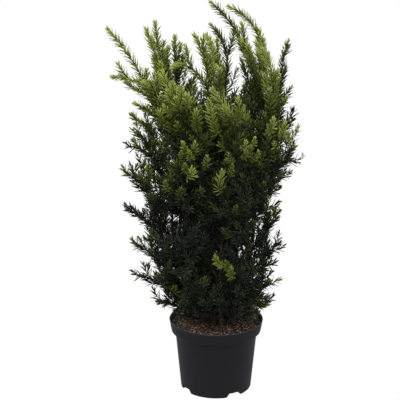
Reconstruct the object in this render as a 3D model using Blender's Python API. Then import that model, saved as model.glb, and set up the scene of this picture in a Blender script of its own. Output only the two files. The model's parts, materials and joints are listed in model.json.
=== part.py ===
"""A hybrid yew in a round nursery pot: pot, soil, stems, boughs and masses of needle sprays.

Metres, +Z up. The origin is the middle of the pot's underside, X runs to the right and Y to the back.
Every limb and shoot is a curve worked out from where it starts and where its tip is.
"""

import math

import bmesh
import bpy
import numpy as np

GAP = 0.0003
SEAT = 0.00045
UP = np.array((0.0, 0.0, 1.0))
RIGHT = np.array((1.0, 0.0, 0.0))
LEVEL = np.array((1.0, 1.0, 0.0))
GOLDEN_TURN = math.radians(137.5)

# Pot, a turned plastic shell
POT_HEIGHT = 0.2015
RIM_RADIUS = 0.130
COLLAR_FOOT_RADIUS = 0.124
COLLAR_HEIGHT = 0.036
SHOULDER_RADIUS = 0.113
FOOT_RADIUS = 0.098
WALL = 0.0025
FLOOR = 0.004
ROUND_EDGE = 0.003
POT_SIDES = 28
POT_SHARP_ANGLE = math.radians(35)

# Drainage notches in the pot's foot
NOTCH_COUNT = 4
FIRST_NOTCH = math.radians(-59)
NOTCH_HEIGHT = 0.013
NOTCH_FOOT_WIDTH = 0.048
NOTCH_TOP_WIDTH = 0.034
NOTCH_DEPTH = 0.006

# Soil
SOIL_TOP = 0.190
SOIL_EDGE_DROP = 0.003
SOIL_FLAT_RADIUS = 0.080

# Stems from the soil: foot x and y, top x, y and z, then radius at the foot and at the top
STEMS = {
    "trunk": (-0.009, 0.000, -0.013, 0.000, 0.670, 0.0105, 0.0042),
    "stem_left": (-0.036, -0.006, -0.118, -0.018, 0.460, 0.0064, 0.0038),
    "stem_right": (0.022, -0.004, 0.100, -0.010, 0.490, 0.0064, 0.0038),
    "stem_back_left": (-0.026, 0.027, -0.072, 0.086, 0.470, 0.0060, 0.0036),
    "stem_back_right": (0.014, 0.027, 0.064, 0.084, 0.480, 0.0060, 0.0036),
    "stem_front": (-0.008, -0.030, 0.012, -0.080, 0.440, 0.0060, 0.0036),
}
# How far sideways a stem's first direction would take it: the trunk bows left, the others spread
TRUNK_BOW = -0.102
STEM_SPREAD = 1.10
STEM_RECOVERY = 0.30
FLARE = 0.55
FLARE_HEIGHT = 0.012
STEM_SIDES = 5
STEM_STEP = 0.040
LIMB_SHARP_ANGLE = math.radians(60)

# Boughs
BOUGH_LENGTH = 0.090
BOUGH_RADIUS = 0.0036
BOUGH_TIP_RADIUS = 0.0029
BOUGH_ANGLE = math.radians(38)
BOUGH_END_SPREAD = 0.25
BOUGH_SIDES = 5
BOUGH_STEP = 0.030

# Leading shoots: the limb that carries each, how far along it (1 is its tip, less needs a bough),
# the place of the shoot's tip, and the tip's heading in degrees, from level left turned upwards
LEADERS = {
    "left_long": ("stem_left", 1.00, (-0.281, -0.020, 1.001), 47),
    "left_low": ("stem_left", 0.62, (-0.267, -0.060, 0.886), 0),
    "left_pair": ("stem_left", 0.85, (-0.162, 0.035, 1.011), 84),
    "back_left": ("stem_back_left", 1.00, (-0.112, 0.090, 0.967), 90),
    "middle_pair": ("trunk", 0.62, (-0.058, -0.050, 0.990), 58),
    "middle": ("trunk", 1.00, (-0.015, 0.040, 1.004), 42),
    "top": ("stem_right", 1.00, (-0.015, -0.010, 1.068), 39),
    "second_top": ("stem_back_right", 1.00, (0.033, 0.080, 1.049), 23),
    "right_light": ("stem_right", 0.58, (0.098, -0.055, 0.972), 47),
    "right_dark": ("stem_right", 0.78, (0.174, 0.030, 0.930), 92),
    "front": ("stem_front", 1.00, (-0.002, -0.130, 0.815), 40),
    "front_left": ("stem_front", 0.66, (-0.120, -0.110, 0.850), 60),
    "rear_left": ("stem_back_left", 0.62, (-0.140, 0.140, 0.900), 75),
    "rear_middle": ("stem_back_left", 0.82, (-0.020, 0.145, 0.955), 60),
    "rear_right": ("stem_back_right", 0.68, (0.120, 0.135, 0.905), 80),
}

# Spreading sprays at the sides and in the middle: place of the tip and the tip's heading
SPREADING = {
    "left_1": ((-0.158, -0.030, 0.259), 0),
    "left_2": ((-0.210, 0.010, 0.320), 10),
    "left_3": ((-0.219, -0.040, 0.427), 25),
    "left_4": ((-0.242, 0.000, 0.512), 12),
    "left_5": ((-0.240, -0.030, 0.624), 28),
    "left_6": ((-0.211, 0.030, 0.720), 50),
    "right_1": ((0.138, 0.000, 0.240), 195),
    "right_2": ((0.142, -0.040, 0.320), 150),
    "right_3": ((0.171, 0.010, 0.415), 140),
    "right_4": ((0.162, -0.030, 0.495), 135),
    "right_5": ((0.173, 0.030, 0.596), 130),
    "right_6": ((0.206, -0.020, 0.692), 130),
    "inner_1": ((0.050, -0.060, 0.390), 130),
    "inner_2": ((-0.060, -0.055, 0.440), 60),
    "inner_3": ((0.005, -0.070, 0.520), 80),
    "inner_4": ((-0.010, 0.055, 0.430), 100),
}

# Front and back sprays stand in rows, turned by turns to the left and right of straight out
ROW_HEIGHTS = (0.265, 0.320, 0.385, 0.470, 0.570, 0.680)
ROW_TURN = math.radians(30)
ROW_CLIMB = 52
LOW_CLIMB = 30
SIDE_CLIMB = 50
LOW_TIPS = 0.35

# More tips on a mass's main shoot: mass, share of the main shoot, tip place and heading
FORKS = (
    ("left_pair", 0.50, (-0.185, 0.015, 0.998), 69),
    ("left_low", 0.62, (-0.214, -0.050, 0.854), 25),
    ("left_low", 0.42, (-0.211, -0.075, 0.819), 25),
    ("left_long", 0.25, (-0.203, -0.015, 0.760), 40),
    ("middle_pair", 0.80, (-0.036, -0.045, 0.985), 100),
    ("middle_pair", 0.66, (-0.113, -0.075, 0.912), -48),
    ("top", 0.50, (0.063, -0.040, 0.975), 60),
    ("right_dark", 0.45, (0.194, 0.020, 0.841), 125),
    ("right_dark", 0.12, (0.200, 0.010, 0.758), 125),
    ("left_6", 0.45, (-0.217, 0.000, 0.687), 20),
    ("right_6", 0.45, (0.199, 0.010, 0.651), 150),
)

# The crown's outline: height, furthest left and furthest right of the leafy part
OUTLINE = (
    (0.215, -0.120, 0.120),
    (0.300, -0.150, 0.135),
    (0.420, -0.190, 0.155),
    (0.520, -0.185, 0.140),
    (0.620, -0.205, 0.170),
    (0.700, -0.205, 0.200),
    (0.820, -0.205, 0.190),
    (0.900, -0.180, 0.170),
    (0.960, -0.150, 0.110),
    (1.040, -0.020, 0.075),
)
CROWN_DEPTH_SHARE = 0.88
LIGHT_ABOVE = 0.93
GREEN_ABOVE = 0.60

# Where a spreading spray may start along a limb, and how much its slope counts in choosing
FIRST_SHARE = 0.12
LAST_SHARE = 0.92
SHARES_TRIED = 17
CLIMB_WEIGHT = 0.60

# Smooth paths
ARC_REACH = 0.36
ARC_SAMPLES = 60
LEVEL_ENOUGH = 0.8

# Shoots
LEADER_RADIUS = 0.0026
SPRAY_RADIUS = 0.0022
TIP_RADIUS = 0.0008
SIDE_SHARE = 0.75
CORE_SIDES = 3
SHOOT_STEP = 0.0206
FORK_TURN = 0.8
LEADER_SPACING = 0.120
SPRAY_SPACING = 0.030
SIDE_ANGLE = math.radians(46)
SIDE_LONGEST = 0.110
SIDE_SHORTEST = 0.030
SIDE_LENGTHS = (0.7, 1.0)
SIDE_SHORTENING = 0.4
SIDE_FIRST = 0.10
SIDE_RUN = 0.70
SIDE_SCATTER = (0.2, 0.8)
SIDE_FREE_TOP = 0.905
TRIES = 6
ROOM_WORTH = 0.020
PATH_RADIUS = 0.003
RISE = 0.35
TIP_RISE = 0.70
SPACE_SLACK = 0.020

# Needles, and how clear everything stays of everything else
NEEDLE_LENGTH = 0.035
NEEDLE_TIP_LENGTH = 0.020
NEEDLE_RADIUS = 0.0015
TWIST = math.radians(37)
NEEDLE_LEAN = math.radians(50)
NEEDLE_TIP_LEAN = math.radians(33)
TUFT = 0.030
ROOT_SHARE = 0.15
CLEAR = 0.0009
PASSING = 0.004
MOST_RODS = 30000
SEED = 11

# Colour, roughness and metallic share of each material
MATERIALS = {
    "pot_plastic": ((0.018, 0.019, 0.021), 0.50, 0.0),
    "potting_soil": ((0.090, 0.045, 0.028), 0.95, 0.0),
    "bark": ((0.110, 0.055, 0.035), 0.85, 0.0),
    "needles_light": ((0.190, 0.260, 0.050), 0.45, 0.0),
    "needles_green": ((0.060, 0.110, 0.025), 0.42, 0.0),
    "needles_dark": ((0.015, 0.030, 0.014), 0.40, 0.0),
}


def clear_scene():
    for obj in list(bpy.data.objects):
        bpy.data.objects.remove(obj, do_unlink=True)


def make_materials():
    made = {}
    for name, (colour, roughness, metallic) in MATERIALS.items():
        material = bpy.data.materials.new(name)
        material.use_nodes = True
        shader = material.node_tree.nodes["Principled BSDF"]
        shader.inputs["Base Color"].default_value = (*colour, 1.0)
        shader.inputs["Roughness"].default_value = roughness
        shader.inputs["Metallic"].default_value = metallic
        made[name] = material
    return made


def new_object(name, vertices, faces, material=None):
    mesh = bpy.data.meshes.new(name)
    mesh.from_pydata([tuple(map(float, v)) for v in vertices], [], faces)
    mesh.update()
    if material:
        mesh.materials.append(material)
    obj = bpy.data.objects.new(name, mesh)
    bpy.context.scene.collection.objects.link(obj)
    return obj


# Pot and soil


def turned(name, profile, material):
    """A solid of revolution. The profile runs from the axis underneath, out, up and back to the axis."""
    vertices = []
    rings = []
    for radius, height in profile:
        if radius == 0.0:
            rings.append([len(vertices)] * POT_SIDES)
            vertices.append((0.0, 0.0, height))
            continue
        first = len(vertices)
        rings.append(list(range(first, first + POT_SIDES)))
        for side in range(POT_SIDES):
            angle = 2 * math.pi * side / POT_SIDES
            vertices.append((radius * math.cos(angle), radius * math.sin(angle), height))
    faces = []
    for lower, upper in zip(rings, rings[1:]):
        for side in range(POT_SIDES):
            after = (side + 1) % POT_SIDES
            corners = (lower[side], lower[after], upper[after], upper[side])
            faces.append(tuple(dict.fromkeys(corners)))
    obj = new_object(name, vertices, faces, material)
    obj.data.shade_smooth()
    obj.data.set_sharp_from_angle(angle=POT_SHARP_ANGLE)
    return obj


def shelf_height():
    """Where the collar steps out from the body."""
    return POT_HEIGHT - COLLAR_HEIGHT


def pot_profile():
    shelf = shelf_height()
    outer = [
        (0.0, 0.0),
        (FOOT_RADIUS - ROUND_EDGE, 0.0),
        (FOOT_RADIUS, ROUND_EDGE),
        (SHOULDER_RADIUS, shelf - WALL),
        (COLLAR_FOOT_RADIUS - ROUND_EDGE, shelf),
        (COLLAR_FOOT_RADIUS, shelf + ROUND_EDGE),
        (RIM_RADIUS, POT_HEIGHT - ROUND_EDGE / 2),
        (RIM_RADIUS - WALL / 2, POT_HEIGHT),
    ]
    inner = [
        (RIM_RADIUS - WALL, POT_HEIGHT - ROUND_EDGE / 2),
        (COLLAR_FOOT_RADIUS - WALL, shelf + ROUND_EDGE + WALL),
        (SHOULDER_RADIUS - WALL, shelf + WALL),
        (FOOT_RADIUS - WALL, FLOOR),
        (0.0, FLOOR),
    ]
    return outer + inner


def soil_profile():
    """The pot's inside, drawn in by the gap, up to the soil's surface."""
    shelf = shelf_height()
    draw_in = 2 * GAP
    collar_run = RIM_RADIUS - COLLAR_FOOT_RADIUS
    collar_rise = COLLAR_HEIGHT - 2 * ROUND_EDGE
    edge = SOIL_TOP - SOIL_EDGE_DROP
    edge_radius = COLLAR_FOOT_RADIUS + collar_run * (edge - shelf - ROUND_EDGE) / collar_rise
    return [
        (0.0, FLOOR + GAP),
        (FOOT_RADIUS - WALL - draw_in, FLOOR + GAP),
        (SHOULDER_RADIUS - WALL - draw_in, shelf + WALL + GAP),
        (COLLAR_FOOT_RADIUS - WALL - 2 * draw_in, shelf + ROUND_EDGE + WALL + GAP),
        (edge_radius - WALL - 2 * draw_in, edge),
        (SOIL_FLAT_RADIUS, SOIL_TOP),
        (0.0, SOIL_TOP),
    ]


def notch_cutter(angle):
    """A block with sloping sides that cuts one drainage notch through the foot of the wall."""
    low = -FLOOR
    spread = (NOTCH_FOOT_WIDTH - NOTCH_TOP_WIDTH) / NOTCH_HEIGHT
    foot_half = (NOTCH_FOOT_WIDTH + spread * FLOOR) / 2
    top_half = NOTCH_TOP_WIDTH / 2
    outline = ((-foot_half, low), (foot_half, low), (top_half, NOTCH_HEIGHT), (-top_half, NOTCH_HEIGHT))
    vertices = [
        (radius, across, height)
        for radius in (FOOT_RADIUS - NOTCH_DEPTH, SHOULDER_RADIUS)
        for across, height in outline
    ]
    faces = [(0, 3, 2, 1), (4, 5, 6, 7), (0, 1, 5, 4), (1, 2, 6, 5), (2, 3, 7, 6), (3, 0, 4, 7)]
    cutter = new_object("notch_cutter", vertices, faces)
    cutter.rotation_euler.z = angle
    cutter.hide_render = True
    cutter.display_type = "WIRE"
    return cutter


def make_pot(materials):
    pot = turned("pot", pot_profile(), materials["pot_plastic"])
    for number in range(NOTCH_COUNT):
        cut = pot.modifiers.new("notch", "BOOLEAN")
        cut.operation = "DIFFERENCE"
        cut.solver = "EXACT"
        cut.object = notch_cutter(FIRST_NOTCH + number * 2 * math.pi / NOTCH_COUNT)
    turned("soil", soil_profile(), materials["potting_soil"])


# Curves


def unit(vector):
    return vector / np.linalg.norm(vector)


def heading(degrees):
    """Direction in the front view, from level left and turned upwards."""
    angle = math.radians(degrees)
    return np.array((-math.cos(angle), 0.0, math.sin(angle)))


def evenly(points, step):
    """The same path with its points spaced evenly, about a step apart."""
    lengths = np.linalg.norm(np.diff(points, axis=0), axis=1)
    along = np.concatenate(([0.0], np.cumsum(lengths)))
    count = max(2, round(along[-1] / step) + 1)
    places = np.linspace(0.0, along[-1], count)
    return np.stack([np.interp(places, along, points[:, k]) for k in range(3)], axis=1)


def arc(start, leave, end, arrive, step):
    """A smooth path from start, leaving along one direction and arriving along another."""
    start, end = np.asarray(start, float), np.asarray(end, float)
    arm = ARC_REACH * np.linalg.norm(end - start)
    first, second = start + arm * unit(leave), end - arm * unit(arrive)
    t = np.linspace(0.0, 1.0, ARC_SAMPLES)[:, None]
    path = (1 - t) ** 3 * start + 3 * (1 - t) ** 2 * t * first + 3 * (1 - t) * t**2 * second + t**3 * end
    return evenly(path, step)


def path_length(points):
    return float(np.linalg.norm(np.diff(points, axis=0), axis=1).sum())


def place_on(points, share):
    """Index of the step that holds this share of an even path, and how far into that step it is."""
    spot = share * (len(points) - 1)
    index = min(int(spot), len(points) - 2)
    return index, spot - index


def point_on(points, share):
    index, part = place_on(points, share)
    return points[index] * (1 - part) + points[index + 1] * part


def tangent_on(points, share):
    index, _ = place_on(points, share)
    return unit(points[index + 1] - points[index])


def side_frames(points, corner=None):
    """Tangent and two side directions at each point, carried along the path without twist."""
    tangents = np.gradient(points, axis=0)
    tangents /= np.linalg.norm(tangents, axis=1)[:, None]
    if corner is None:
        corner = UP if abs(tangents[0][2]) < LEVEL_ENOUGH else RIGHT
    sides = []
    side = corner
    for tangent in tangents:
        side = unit(side - tangent * np.dot(side, tangent))
        sides.append(side)
    sides = np.array(sides)
    return tangents, sides, np.cross(tangents, sides)


# Limbs


class Limb:
    """One tapering limb of wood, with flat ends."""

    def __init__(self, name, points, radii, sides, corner=None):
        self.name = name
        self.points = points
        self.radii = radii
        self.sides = sides
        self.tangents, self.side, self.cross = side_frames(points, corner)

    def surface(self, share, outward):
        """How far the faceted surface lies from the axis, in the direction outward."""
        index, part = place_on(self.points, share)
        radius = self.radii[index] * (1 - part) + self.radii[index + 1] * part
        angle = math.atan2(np.dot(outward, self.cross[index]), np.dot(outward, self.side[index]))
        facet = 2 * math.pi / self.sides
        off_middle = (angle % facet) - facet / 2
        return radius * math.cos(facet / 2) / math.cos(off_middle)

    def branch_start(self, share, direction, radius):
        """Where a branch of this radius starts, just clear of the bark, and the way back inwards."""
        axis, along = point_on(self.points, share), tangent_on(self.points, share)
        outward = unit(direction - along * np.dot(direction, along))
        lift = radius * abs(np.dot(unit(direction), along))
        start = axis + outward * (self.surface(share, outward) + lift + SEAT)
        return start, -outward

    def build(self, material):
        vertices = []
        for point, radius, side, cross in zip(self.points, self.radii, self.side, self.cross):
            for number in range(self.sides):
                angle = 2 * math.pi * number / self.sides
                vertices.append(point + radius * (side * math.cos(angle) + cross * math.sin(angle)))
        faces = [tuple(reversed(range(self.sides)))]
        for ring in range(len(self.points) - 1):
            low, high = ring * self.sides, (ring + 1) * self.sides
            for number in range(self.sides):
                after = (number + 1) % self.sides
                faces.append((low + number, low + after, high + after, high + number))
        faces.append(tuple(range(len(vertices) - self.sides, len(vertices))))
        obj = new_object(self.name, vertices, faces, material)
        obj.data.shade_smooth()
        obj.data.set_sharp_from_angle(angle=LIMB_SHARP_ANGLE)


def make_stems():
    stems = {}
    foot_height = SOIL_TOP + GAP
    for name, (foot_x, foot_y, top_x, top_y, top_z, foot_radius, top_radius) in STEMS.items():
        foot, top = np.array((foot_x, foot_y, foot_height)), np.array((top_x, top_y, top_z))
        sideways = RIGHT * TRUNK_BOW if name == "trunk" else (top - foot) * LEVEL * STEM_SPREAD
        leave = UP * (top_z - foot_height) + sideways
        arrive = UP - sideways * STEM_RECOVERY
        path = arc(foot, leave, top, arrive, STEM_STEP)
        low = foot + UP * FLARE_HEIGHT + (path[1] - foot) * LEVEL * FLARE_HEIGHT / STEM_STEP
        path = np.insert(path, 1, low, axis=0)
        share = (path[:, 2] - foot_height) / (top_z - foot_height)
        radii = foot_radius + (top_radius - foot_radius) * share
        radii = radii * (1 + FLARE * np.exp(-(path[:, 2] - foot_height) / FLARE_HEIGHT))
        limb = Limb(name, path, radii, STEM_SIDES, RIGHT)
        limb.tangents[0] = UP
        limb.side[0] = unit(limb.side[0] * LEVEL)
        limb.cross[0] = np.cross(UP, limb.side[0])
        stems[name] = limb
    return stems


def make_boughs(stems):
    """One bough for each leading shoot that isn't carried by a stem's own tip."""
    boughs = {}
    for name, (carrier, share, tip, _) in LEADERS.items():
        if share == 1.0:
            continue
        stem = stems[carrier]
        base, along = point_on(stem.points, share), tangent_on(stem.points, share)
        across = np.asarray(tip) - base
        outward = unit(across - along * np.dot(across, along))
        leave = along * math.cos(BOUGH_ANGLE) + outward * math.sin(BOUGH_ANGLE)
        start, corner = stem.branch_start(share, leave, BOUGH_RADIUS)
        arrive = unit(BOUGH_END_SPREAD * unit(across) + UP)
        end = start + BOUGH_LENGTH * unit(leave + arrive)
        path = arc(start, leave, end, arrive, BOUGH_STEP)
        radii = np.linspace(BOUGH_RADIUS, BOUGH_TIP_RADIUS, len(path))
        boughs[name] = Limb("bough_" + name, path, radii, BOUGH_SIDES, corner)
    return boughs


# Room: what each new shoot and needle must stay clear of


def closest(start, end, starts, ends):
    """Shortest distances from one segment to each of many."""
    along, others, between = end - start, ends - starts, start - starts
    own = max(float(np.dot(along, along)), 1e-12)
    lengths = np.maximum(np.einsum("ij,ij->i", others, others), 1e-12)
    cross = others @ along
    lead = between @ along
    lag = np.einsum("ij,ij->i", others, between)
    scale = np.maximum(own * lengths - cross**2, 1e-12)
    mine = np.clip((cross * lag - lead * lengths) / scale, 0.0, 1.0)
    theirs = np.clip((cross * mine + lag) / lengths, 0.0, 1.0)
    mine = np.clip((cross * theirs - lead) / own, 0.0, 1.0)
    apart = between + mine[:, None] * along - theirs[:, None] * others
    return np.linalg.norm(apart, axis=1)


class Room:
    """Every limb, shoot and needle so far, as straight round rods with an owner number each."""

    def __init__(self):
        self.starts = np.zeros((MOST_RODS, 3))
        self.ends = np.zeros((MOST_RODS, 3))
        self.radii = np.zeros(MOST_RODS)
        self.owners = np.full(MOST_RODS, -1)
        self.count = 0

    def add(self, start, end, radius, owner):
        at = self.count
        self.starts[at], self.ends[at], self.radii[at], self.owners[at] = start, end, radius, owner
        self.count += 1

    def add_path(self, points, radii, owner):
        for index in range(len(points) - 1):
            self.add(points[index], points[index + 1], max(radii[index], radii[index + 1]), owner)

    def clearance(self, start, end, radius, ignore=None):
        """Free distance round a rod, leaving out what one owner holds."""
        used = slice(0, self.count)
        gaps = closest(start, end, self.starts[used], self.ends[used]) - self.radii[used] - radius
        return float(gaps[self.owners[used] != ignore].min())


# Foliage


class Shoot:
    """A slim core of three sides, turned a little at each ring, with needles standing out of it."""

    def __init__(self, mass, points, radii, owner, parent=None, corner=None):
        self.mass = mass
        self.points = points
        self.radii = radii
        self.owner = owner
        self.parent = parent
        self.tangents, self.side, self.cross = side_frames(points, corner)
        self.needles = {}

    def corner(self, ring, number):
        angle = 2 * math.pi * number / CORE_SIDES + TWIST * ring
        around = self.side[ring] * math.cos(angle) + self.cross[ring] * math.sin(angle)
        return self.points[ring] + self.radii[ring] * around

    def needle(self, ring, number):
        """Tip of the needle that can stand on this face of the core, and the two ends of its root."""
        angle = 2 * math.pi * (number + 0.5) / CORE_SIDES + TWIST * (ring + 0.5)
        outward = self.side[ring] * math.cos(angle) + self.cross[ring] * math.sin(angle)
        root = (self.points[ring] + self.points[ring + 1]) / 2
        left = path_length(self.points[ring:])
        tuft = min(1.0, left / TUFT)
        lean = NEEDLE_TIP_LEAN + (NEEDLE_LEAN - NEEDLE_TIP_LEAN) * tuft
        length = NEEDLE_TIP_LENGTH + (NEEDLE_LENGTH - NEEDLE_TIP_LENGTH) * tuft
        direction = self.tangents[ring] * math.cos(lean) + outward * math.sin(lean)
        sunk = outward * self.radii[ring] * math.cos(math.pi / CORE_SIDES)
        return root + sunk + direction * length, self.points[ring] + sunk, self.points[ring + 1] + sunk

    def mesh(self):
        """Vertices and faces of the closed core, each needle a spike drawn out of one face."""
        rings = len(self.points) - 1
        vertices = [self.corner(ring, number) for ring in range(rings) for number in range(CORE_SIDES)]
        faces = [tuple(reversed(range(CORE_SIDES)))]
        for ring in range(rings - 1):
            for number in range(CORE_SIDES):
                after = (number + 1) % CORE_SIDES
                low, high = CORE_SIDES * ring, CORE_SIDES * (ring + 1)
                quad = (low + number, low + after, high + after, high + number)
                if (ring, number) not in self.needles:
                    faces += [(quad[0], quad[1], quad[2]), (quad[0], quad[2], quad[3])]
                    continue
                apex = len(vertices)
                vertices.append(self.needles[ring, number])
                faces += [(quad[k], quad[(k + 1) % 4], apex) for k in range(4)]
        last = CORE_SIDES * (rings - 1)
        apex = len(vertices)
        vertices.append(self.points[-1])
        for number in range(CORE_SIDES):
            faces.append((last + number, last + (number + 1) % CORE_SIDES, apex))
        return vertices, faces


def outline_at(height):
    table = np.array(OUTLINE)
    return [float(np.interp(height, table[:, 0], table[:, k])) for k in (1, 2)]


def in_crown(point):
    """Inside the crown's outline, which is an uneven oval at each height."""
    left, right = outline_at(point[2])
    middle, half = (left + right) / 2, (right - left) / 2
    across = (point[0] - middle) / half
    deep = point[1] / (half * CROWN_DEPTH_SHARE)
    return across**2 + deep**2 < 1.0 and OUTLINE[0][0] < point[2] < OUTLINE[-1][0]


def tapered(points, root_radius):
    return np.linspace(root_radius, TIP_RADIUS, len(points))


def carriers(limbs, tip, climb):
    """Each limb and share of its length from where a spray could reach this tip, the best first.

    Near limbs come first, and places from where the spray climbs at about the wanted slope.
    """
    found = []
    for limb in limbs:
        for share in np.linspace(FIRST_SHARE, LAST_SHARE, SHARES_TRIED):
            across = tip - point_on(limb.points, share)
            slope = math.atan2(across[2], math.hypot(across[0], across[1]))
            cost = np.linalg.norm(across) + CLIMB_WEIGHT * abs(slope - climb)
            found.append((float(cost), limb.name, float(share)))
    return sorted(found)


def row_tips():
    """Tips of the front and back sprays, two at each height, turned left and right by turns."""
    tips = {}
    for number, height in enumerate(ROW_HEIGHTS):
        left, right = outline_at(height)
        middle, half = (left + right) / 2, (right - left) / 2
        for face, name in ((-1, "front"), (1, "back")):
            turn = ROW_TURN * (-1) ** (number + (face > 0))
            x = middle + half * math.sin(turn)
            y = face * half * CROWN_DEPTH_SHARE * math.cos(turn)
            tips[f"{name}_{number + 1}"] = (x, y, height)
    return tips


class Crown:
    """All shoots, by mass, grown so that no two masses touch."""

    def __init__(self, limbs, boughs):
        self.room = Room()
        self.limbs = limbs
        self.boughs = boughs
        self.shoots = []
        self.masses = {}
        for number, limb in enumerate(list(limbs.values()) + list(boughs.values())):
            self.room.add_path(limb.points, limb.radii, -2 - number)

    def add(self, mass, points, radii, parent=None, corner=None):
        shoot = Shoot(mass, points, radii, len(self.shoots), parent, corner)
        self.shoots.append(shoot)
        self.masses.setdefault(mass, []).append(shoot)
        self.room.add_path(points, radii, shoot.owner)
        return shoot

    def lead(self, name, carrier, share, tip, tip_heading):
        """The main shoot of a leading mass, from the end of its stem or bough."""
        limb = self.limbs[carrier] if share == 1.0 else self.boughs[name]
        leave = limb.tangents[-1]
        start = limb.points[-1] + leave * GAP
        points = arc(start, leave, tip, heading(tip_heading), SHOOT_STEP)
        self.add(name, points, tapered(points, LEADER_RADIUS), corner=limb.side[-1])

    def spread(self, name, tip, arrive, climb):
        """The main shoot of a spreading mass, from the side of the limb that suits it best."""
        tip = np.array(tip)
        for _, carrier, share in carriers(self.limbs.values(), tip, climb):
            limb = self.limbs[carrier]
            across = tip - point_on(limb.points, share)
            leave = unit(across * LEVEL) * math.cos(climb) + UP * math.sin(climb)
            start, corner = limb.branch_start(share, leave, SPRAY_RADIUS)
            points = arc(start, leave, tip, arrive, SHOOT_STEP)
            steps = zip(points[1:], points[2:])
            if all(self.room.clearance(a, b, SPRAY_RADIUS) > PASSING for a, b in steps):
                break
        self.add(name, points, tapered(points, SPRAY_RADIUS), corner=corner)

    def fork(self, mass, share, tip, tip_heading):
        """One more long shoot on a mass's main shoot."""
        main = self.masses[mass][0]
        start, along = point_on(main.points, share), tangent_on(main.points, share)
        leave = along + FORK_TURN * unit(np.array(tip) - start)
        points = arc(start, leave, tip, heading(tip_heading), SHOOT_STEP)
        radius = SIDE_SHARE * main.radii[place_on(main.points, share)[0]]
        self.add(mass, points, tapered(points, radius), parent=main)

    def keeps_space(self, mass, point):
        """True where the mass's own main shoot is nearer than any other mass's, inside the crown."""
        if not in_crown(point):
            return False
        nearest = {}
        for name, shoots in self.masses.items():
            nearest[name] = np.linalg.norm(shoots[0].points - point, axis=1).min()
        return nearest[mass] < min(nearest.values()) + SPACE_SLACK

    def side_path(self, main, share, around, length):
        """A side shoot's path, bending upwards, cut where it would leave its space or touch anything."""
        index, _ = place_on(main.points, share)
        start, along = point_on(main.points, share), tangent_on(main.points, share)
        outward = main.side[index] * math.cos(around) + main.cross[index] * math.sin(around)
        leave = along * math.cos(SIDE_ANGLE) + outward * math.sin(SIDE_ANGLE)
        end = start + length * unit(leave + RISE * UP)
        points = arc(start, leave, end, leave + TIP_RISE * UP, SHOOT_STEP)
        kept = [points[0]]
        room = ROOM_WORTH
        for before, after in zip(points, points[1:]):
            free = self.room.clearance(before, after, PATH_RADIUS, main.owner)
            if free < CLEAR or not self.keeps_space(main.mass, after):
                break
            kept.append(after)
            room = min(room, free)
        return np.array(kept), room

    def side_shoots(self, main, rng):
        """Side shoots along a shoot, each in the most open of a few directions."""
        length = path_length(main.points)
        spacing = LEADER_SPACING if main.mass in LEADERS else SPRAY_SPACING
        count = max(1, round(length / spacing))
        turn = rng.uniform(0, 2 * math.pi)
        for number in range(count):
            share = SIDE_FIRST + SIDE_RUN * (number + rng.uniform(*SIDE_SCATTER)) / count
            if point_on(main.points, share)[2] > SIDE_FREE_TOP:
                break
            wanted = SIDE_LONGEST * rng.uniform(*SIDE_LENGTHS) * (1.0 - SIDE_SHORTENING * share)
            best = None
            for attempt in range(TRIES):
                path, room = self.side_path(main, share, turn + attempt * 2 * math.pi / TRIES, wanted)
                score = (len(path) - 1) * SHOOT_STEP + room
                if best is None or score > best[0]:
                    best = (score, path)
            turn += GOLDEN_TURN
            path = best[1]
            if (len(path) - 1) * SHOOT_STEP < SIDE_SHORTEST:
                continue
            radius = SIDE_SHARE * main.radii[place_on(main.points, share)[0]]
            self.add(main.mass, path, tapered(path, radius), parent=main)

    def set_needles(self):
        """Each face of a core carries a needle, where that touches nothing."""
        for shoot in self.shoots:
            first = 1 if shoot.parent is None else 2
            for ring in range(first, len(shoot.points) - 2):
                for number in range(CORE_SIDES):
                    tip, low, high = shoot.needle(ring, number)
                    roots = (low, (low + high) / 2, high)
                    edges = [(root + (tip - root) * ROOT_SHARE, tip) for root in roots]
                    gaps = [self.room.clearance(*edge, NEEDLE_RADIUS, shoot.owner) for edge in edges]
                    if min(gaps) < CLEAR:
                        continue
                    shoot.needles[ring, number] = tip
                    for edge in edges:
                        self.room.add(*edge, NEEDLE_RADIUS, shoot.owner)

    def grow(self):
        for name, (carrier, share, tip, tip_heading) in LEADERS.items():
            self.lead(name, carrier, share, tip, tip_heading)
        for name, (tip, tip_heading) in SPREADING.items():
            climb = LOW_CLIMB if tip[2] < LOW_TIPS else SIDE_CLIMB
            self.spread(name, tip, heading(tip_heading), math.radians(climb))
        for name, tip in row_tips().items():
            outward = unit(np.array((tip[0], tip[1], 0.0)))
            arrive = outward * math.cos(math.radians(ROW_CLIMB)) + UP * math.sin(math.radians(ROW_CLIMB))
            self.spread(name, tip, arrive, math.radians(ROW_CLIMB))
        mains = list(self.shoots)
        for fork in FORKS:
            self.fork(*fork)
        rng = np.random.default_rng(SEED)
        for shoot in mains:
            self.side_shoots(shoot, rng)
        self.set_needles()


# Meshes of the masses


def islands_of(bm):
    """The separate pieces of a mesh, as sets of faces."""
    left = set(bm.faces)
    islands = []
    while left:
        group = set()
        stack = [left.pop()]
        while stack:
            face = stack.pop()
            group.add(face)
            for edge in face.edges:
                for other in edge.link_faces:
                    if other in left:
                        left.remove(other)
                        stack.append(other)
        islands.append(group)
    return islands


def keep_main_body(mesh):
    """Drops loose scraps and fills sealed hollows: only the body with the most faces stays."""
    bm = bmesh.new()
    bm.from_mesh(mesh)
    islands = sorted(islands_of(bm), key=len, reverse=True)
    extra = [face for island in islands[1:] for face in island]
    bmesh.ops.delete(bm, geom=extra, context="FACES")
    bm.to_mesh(mesh)
    bm.free()


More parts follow.
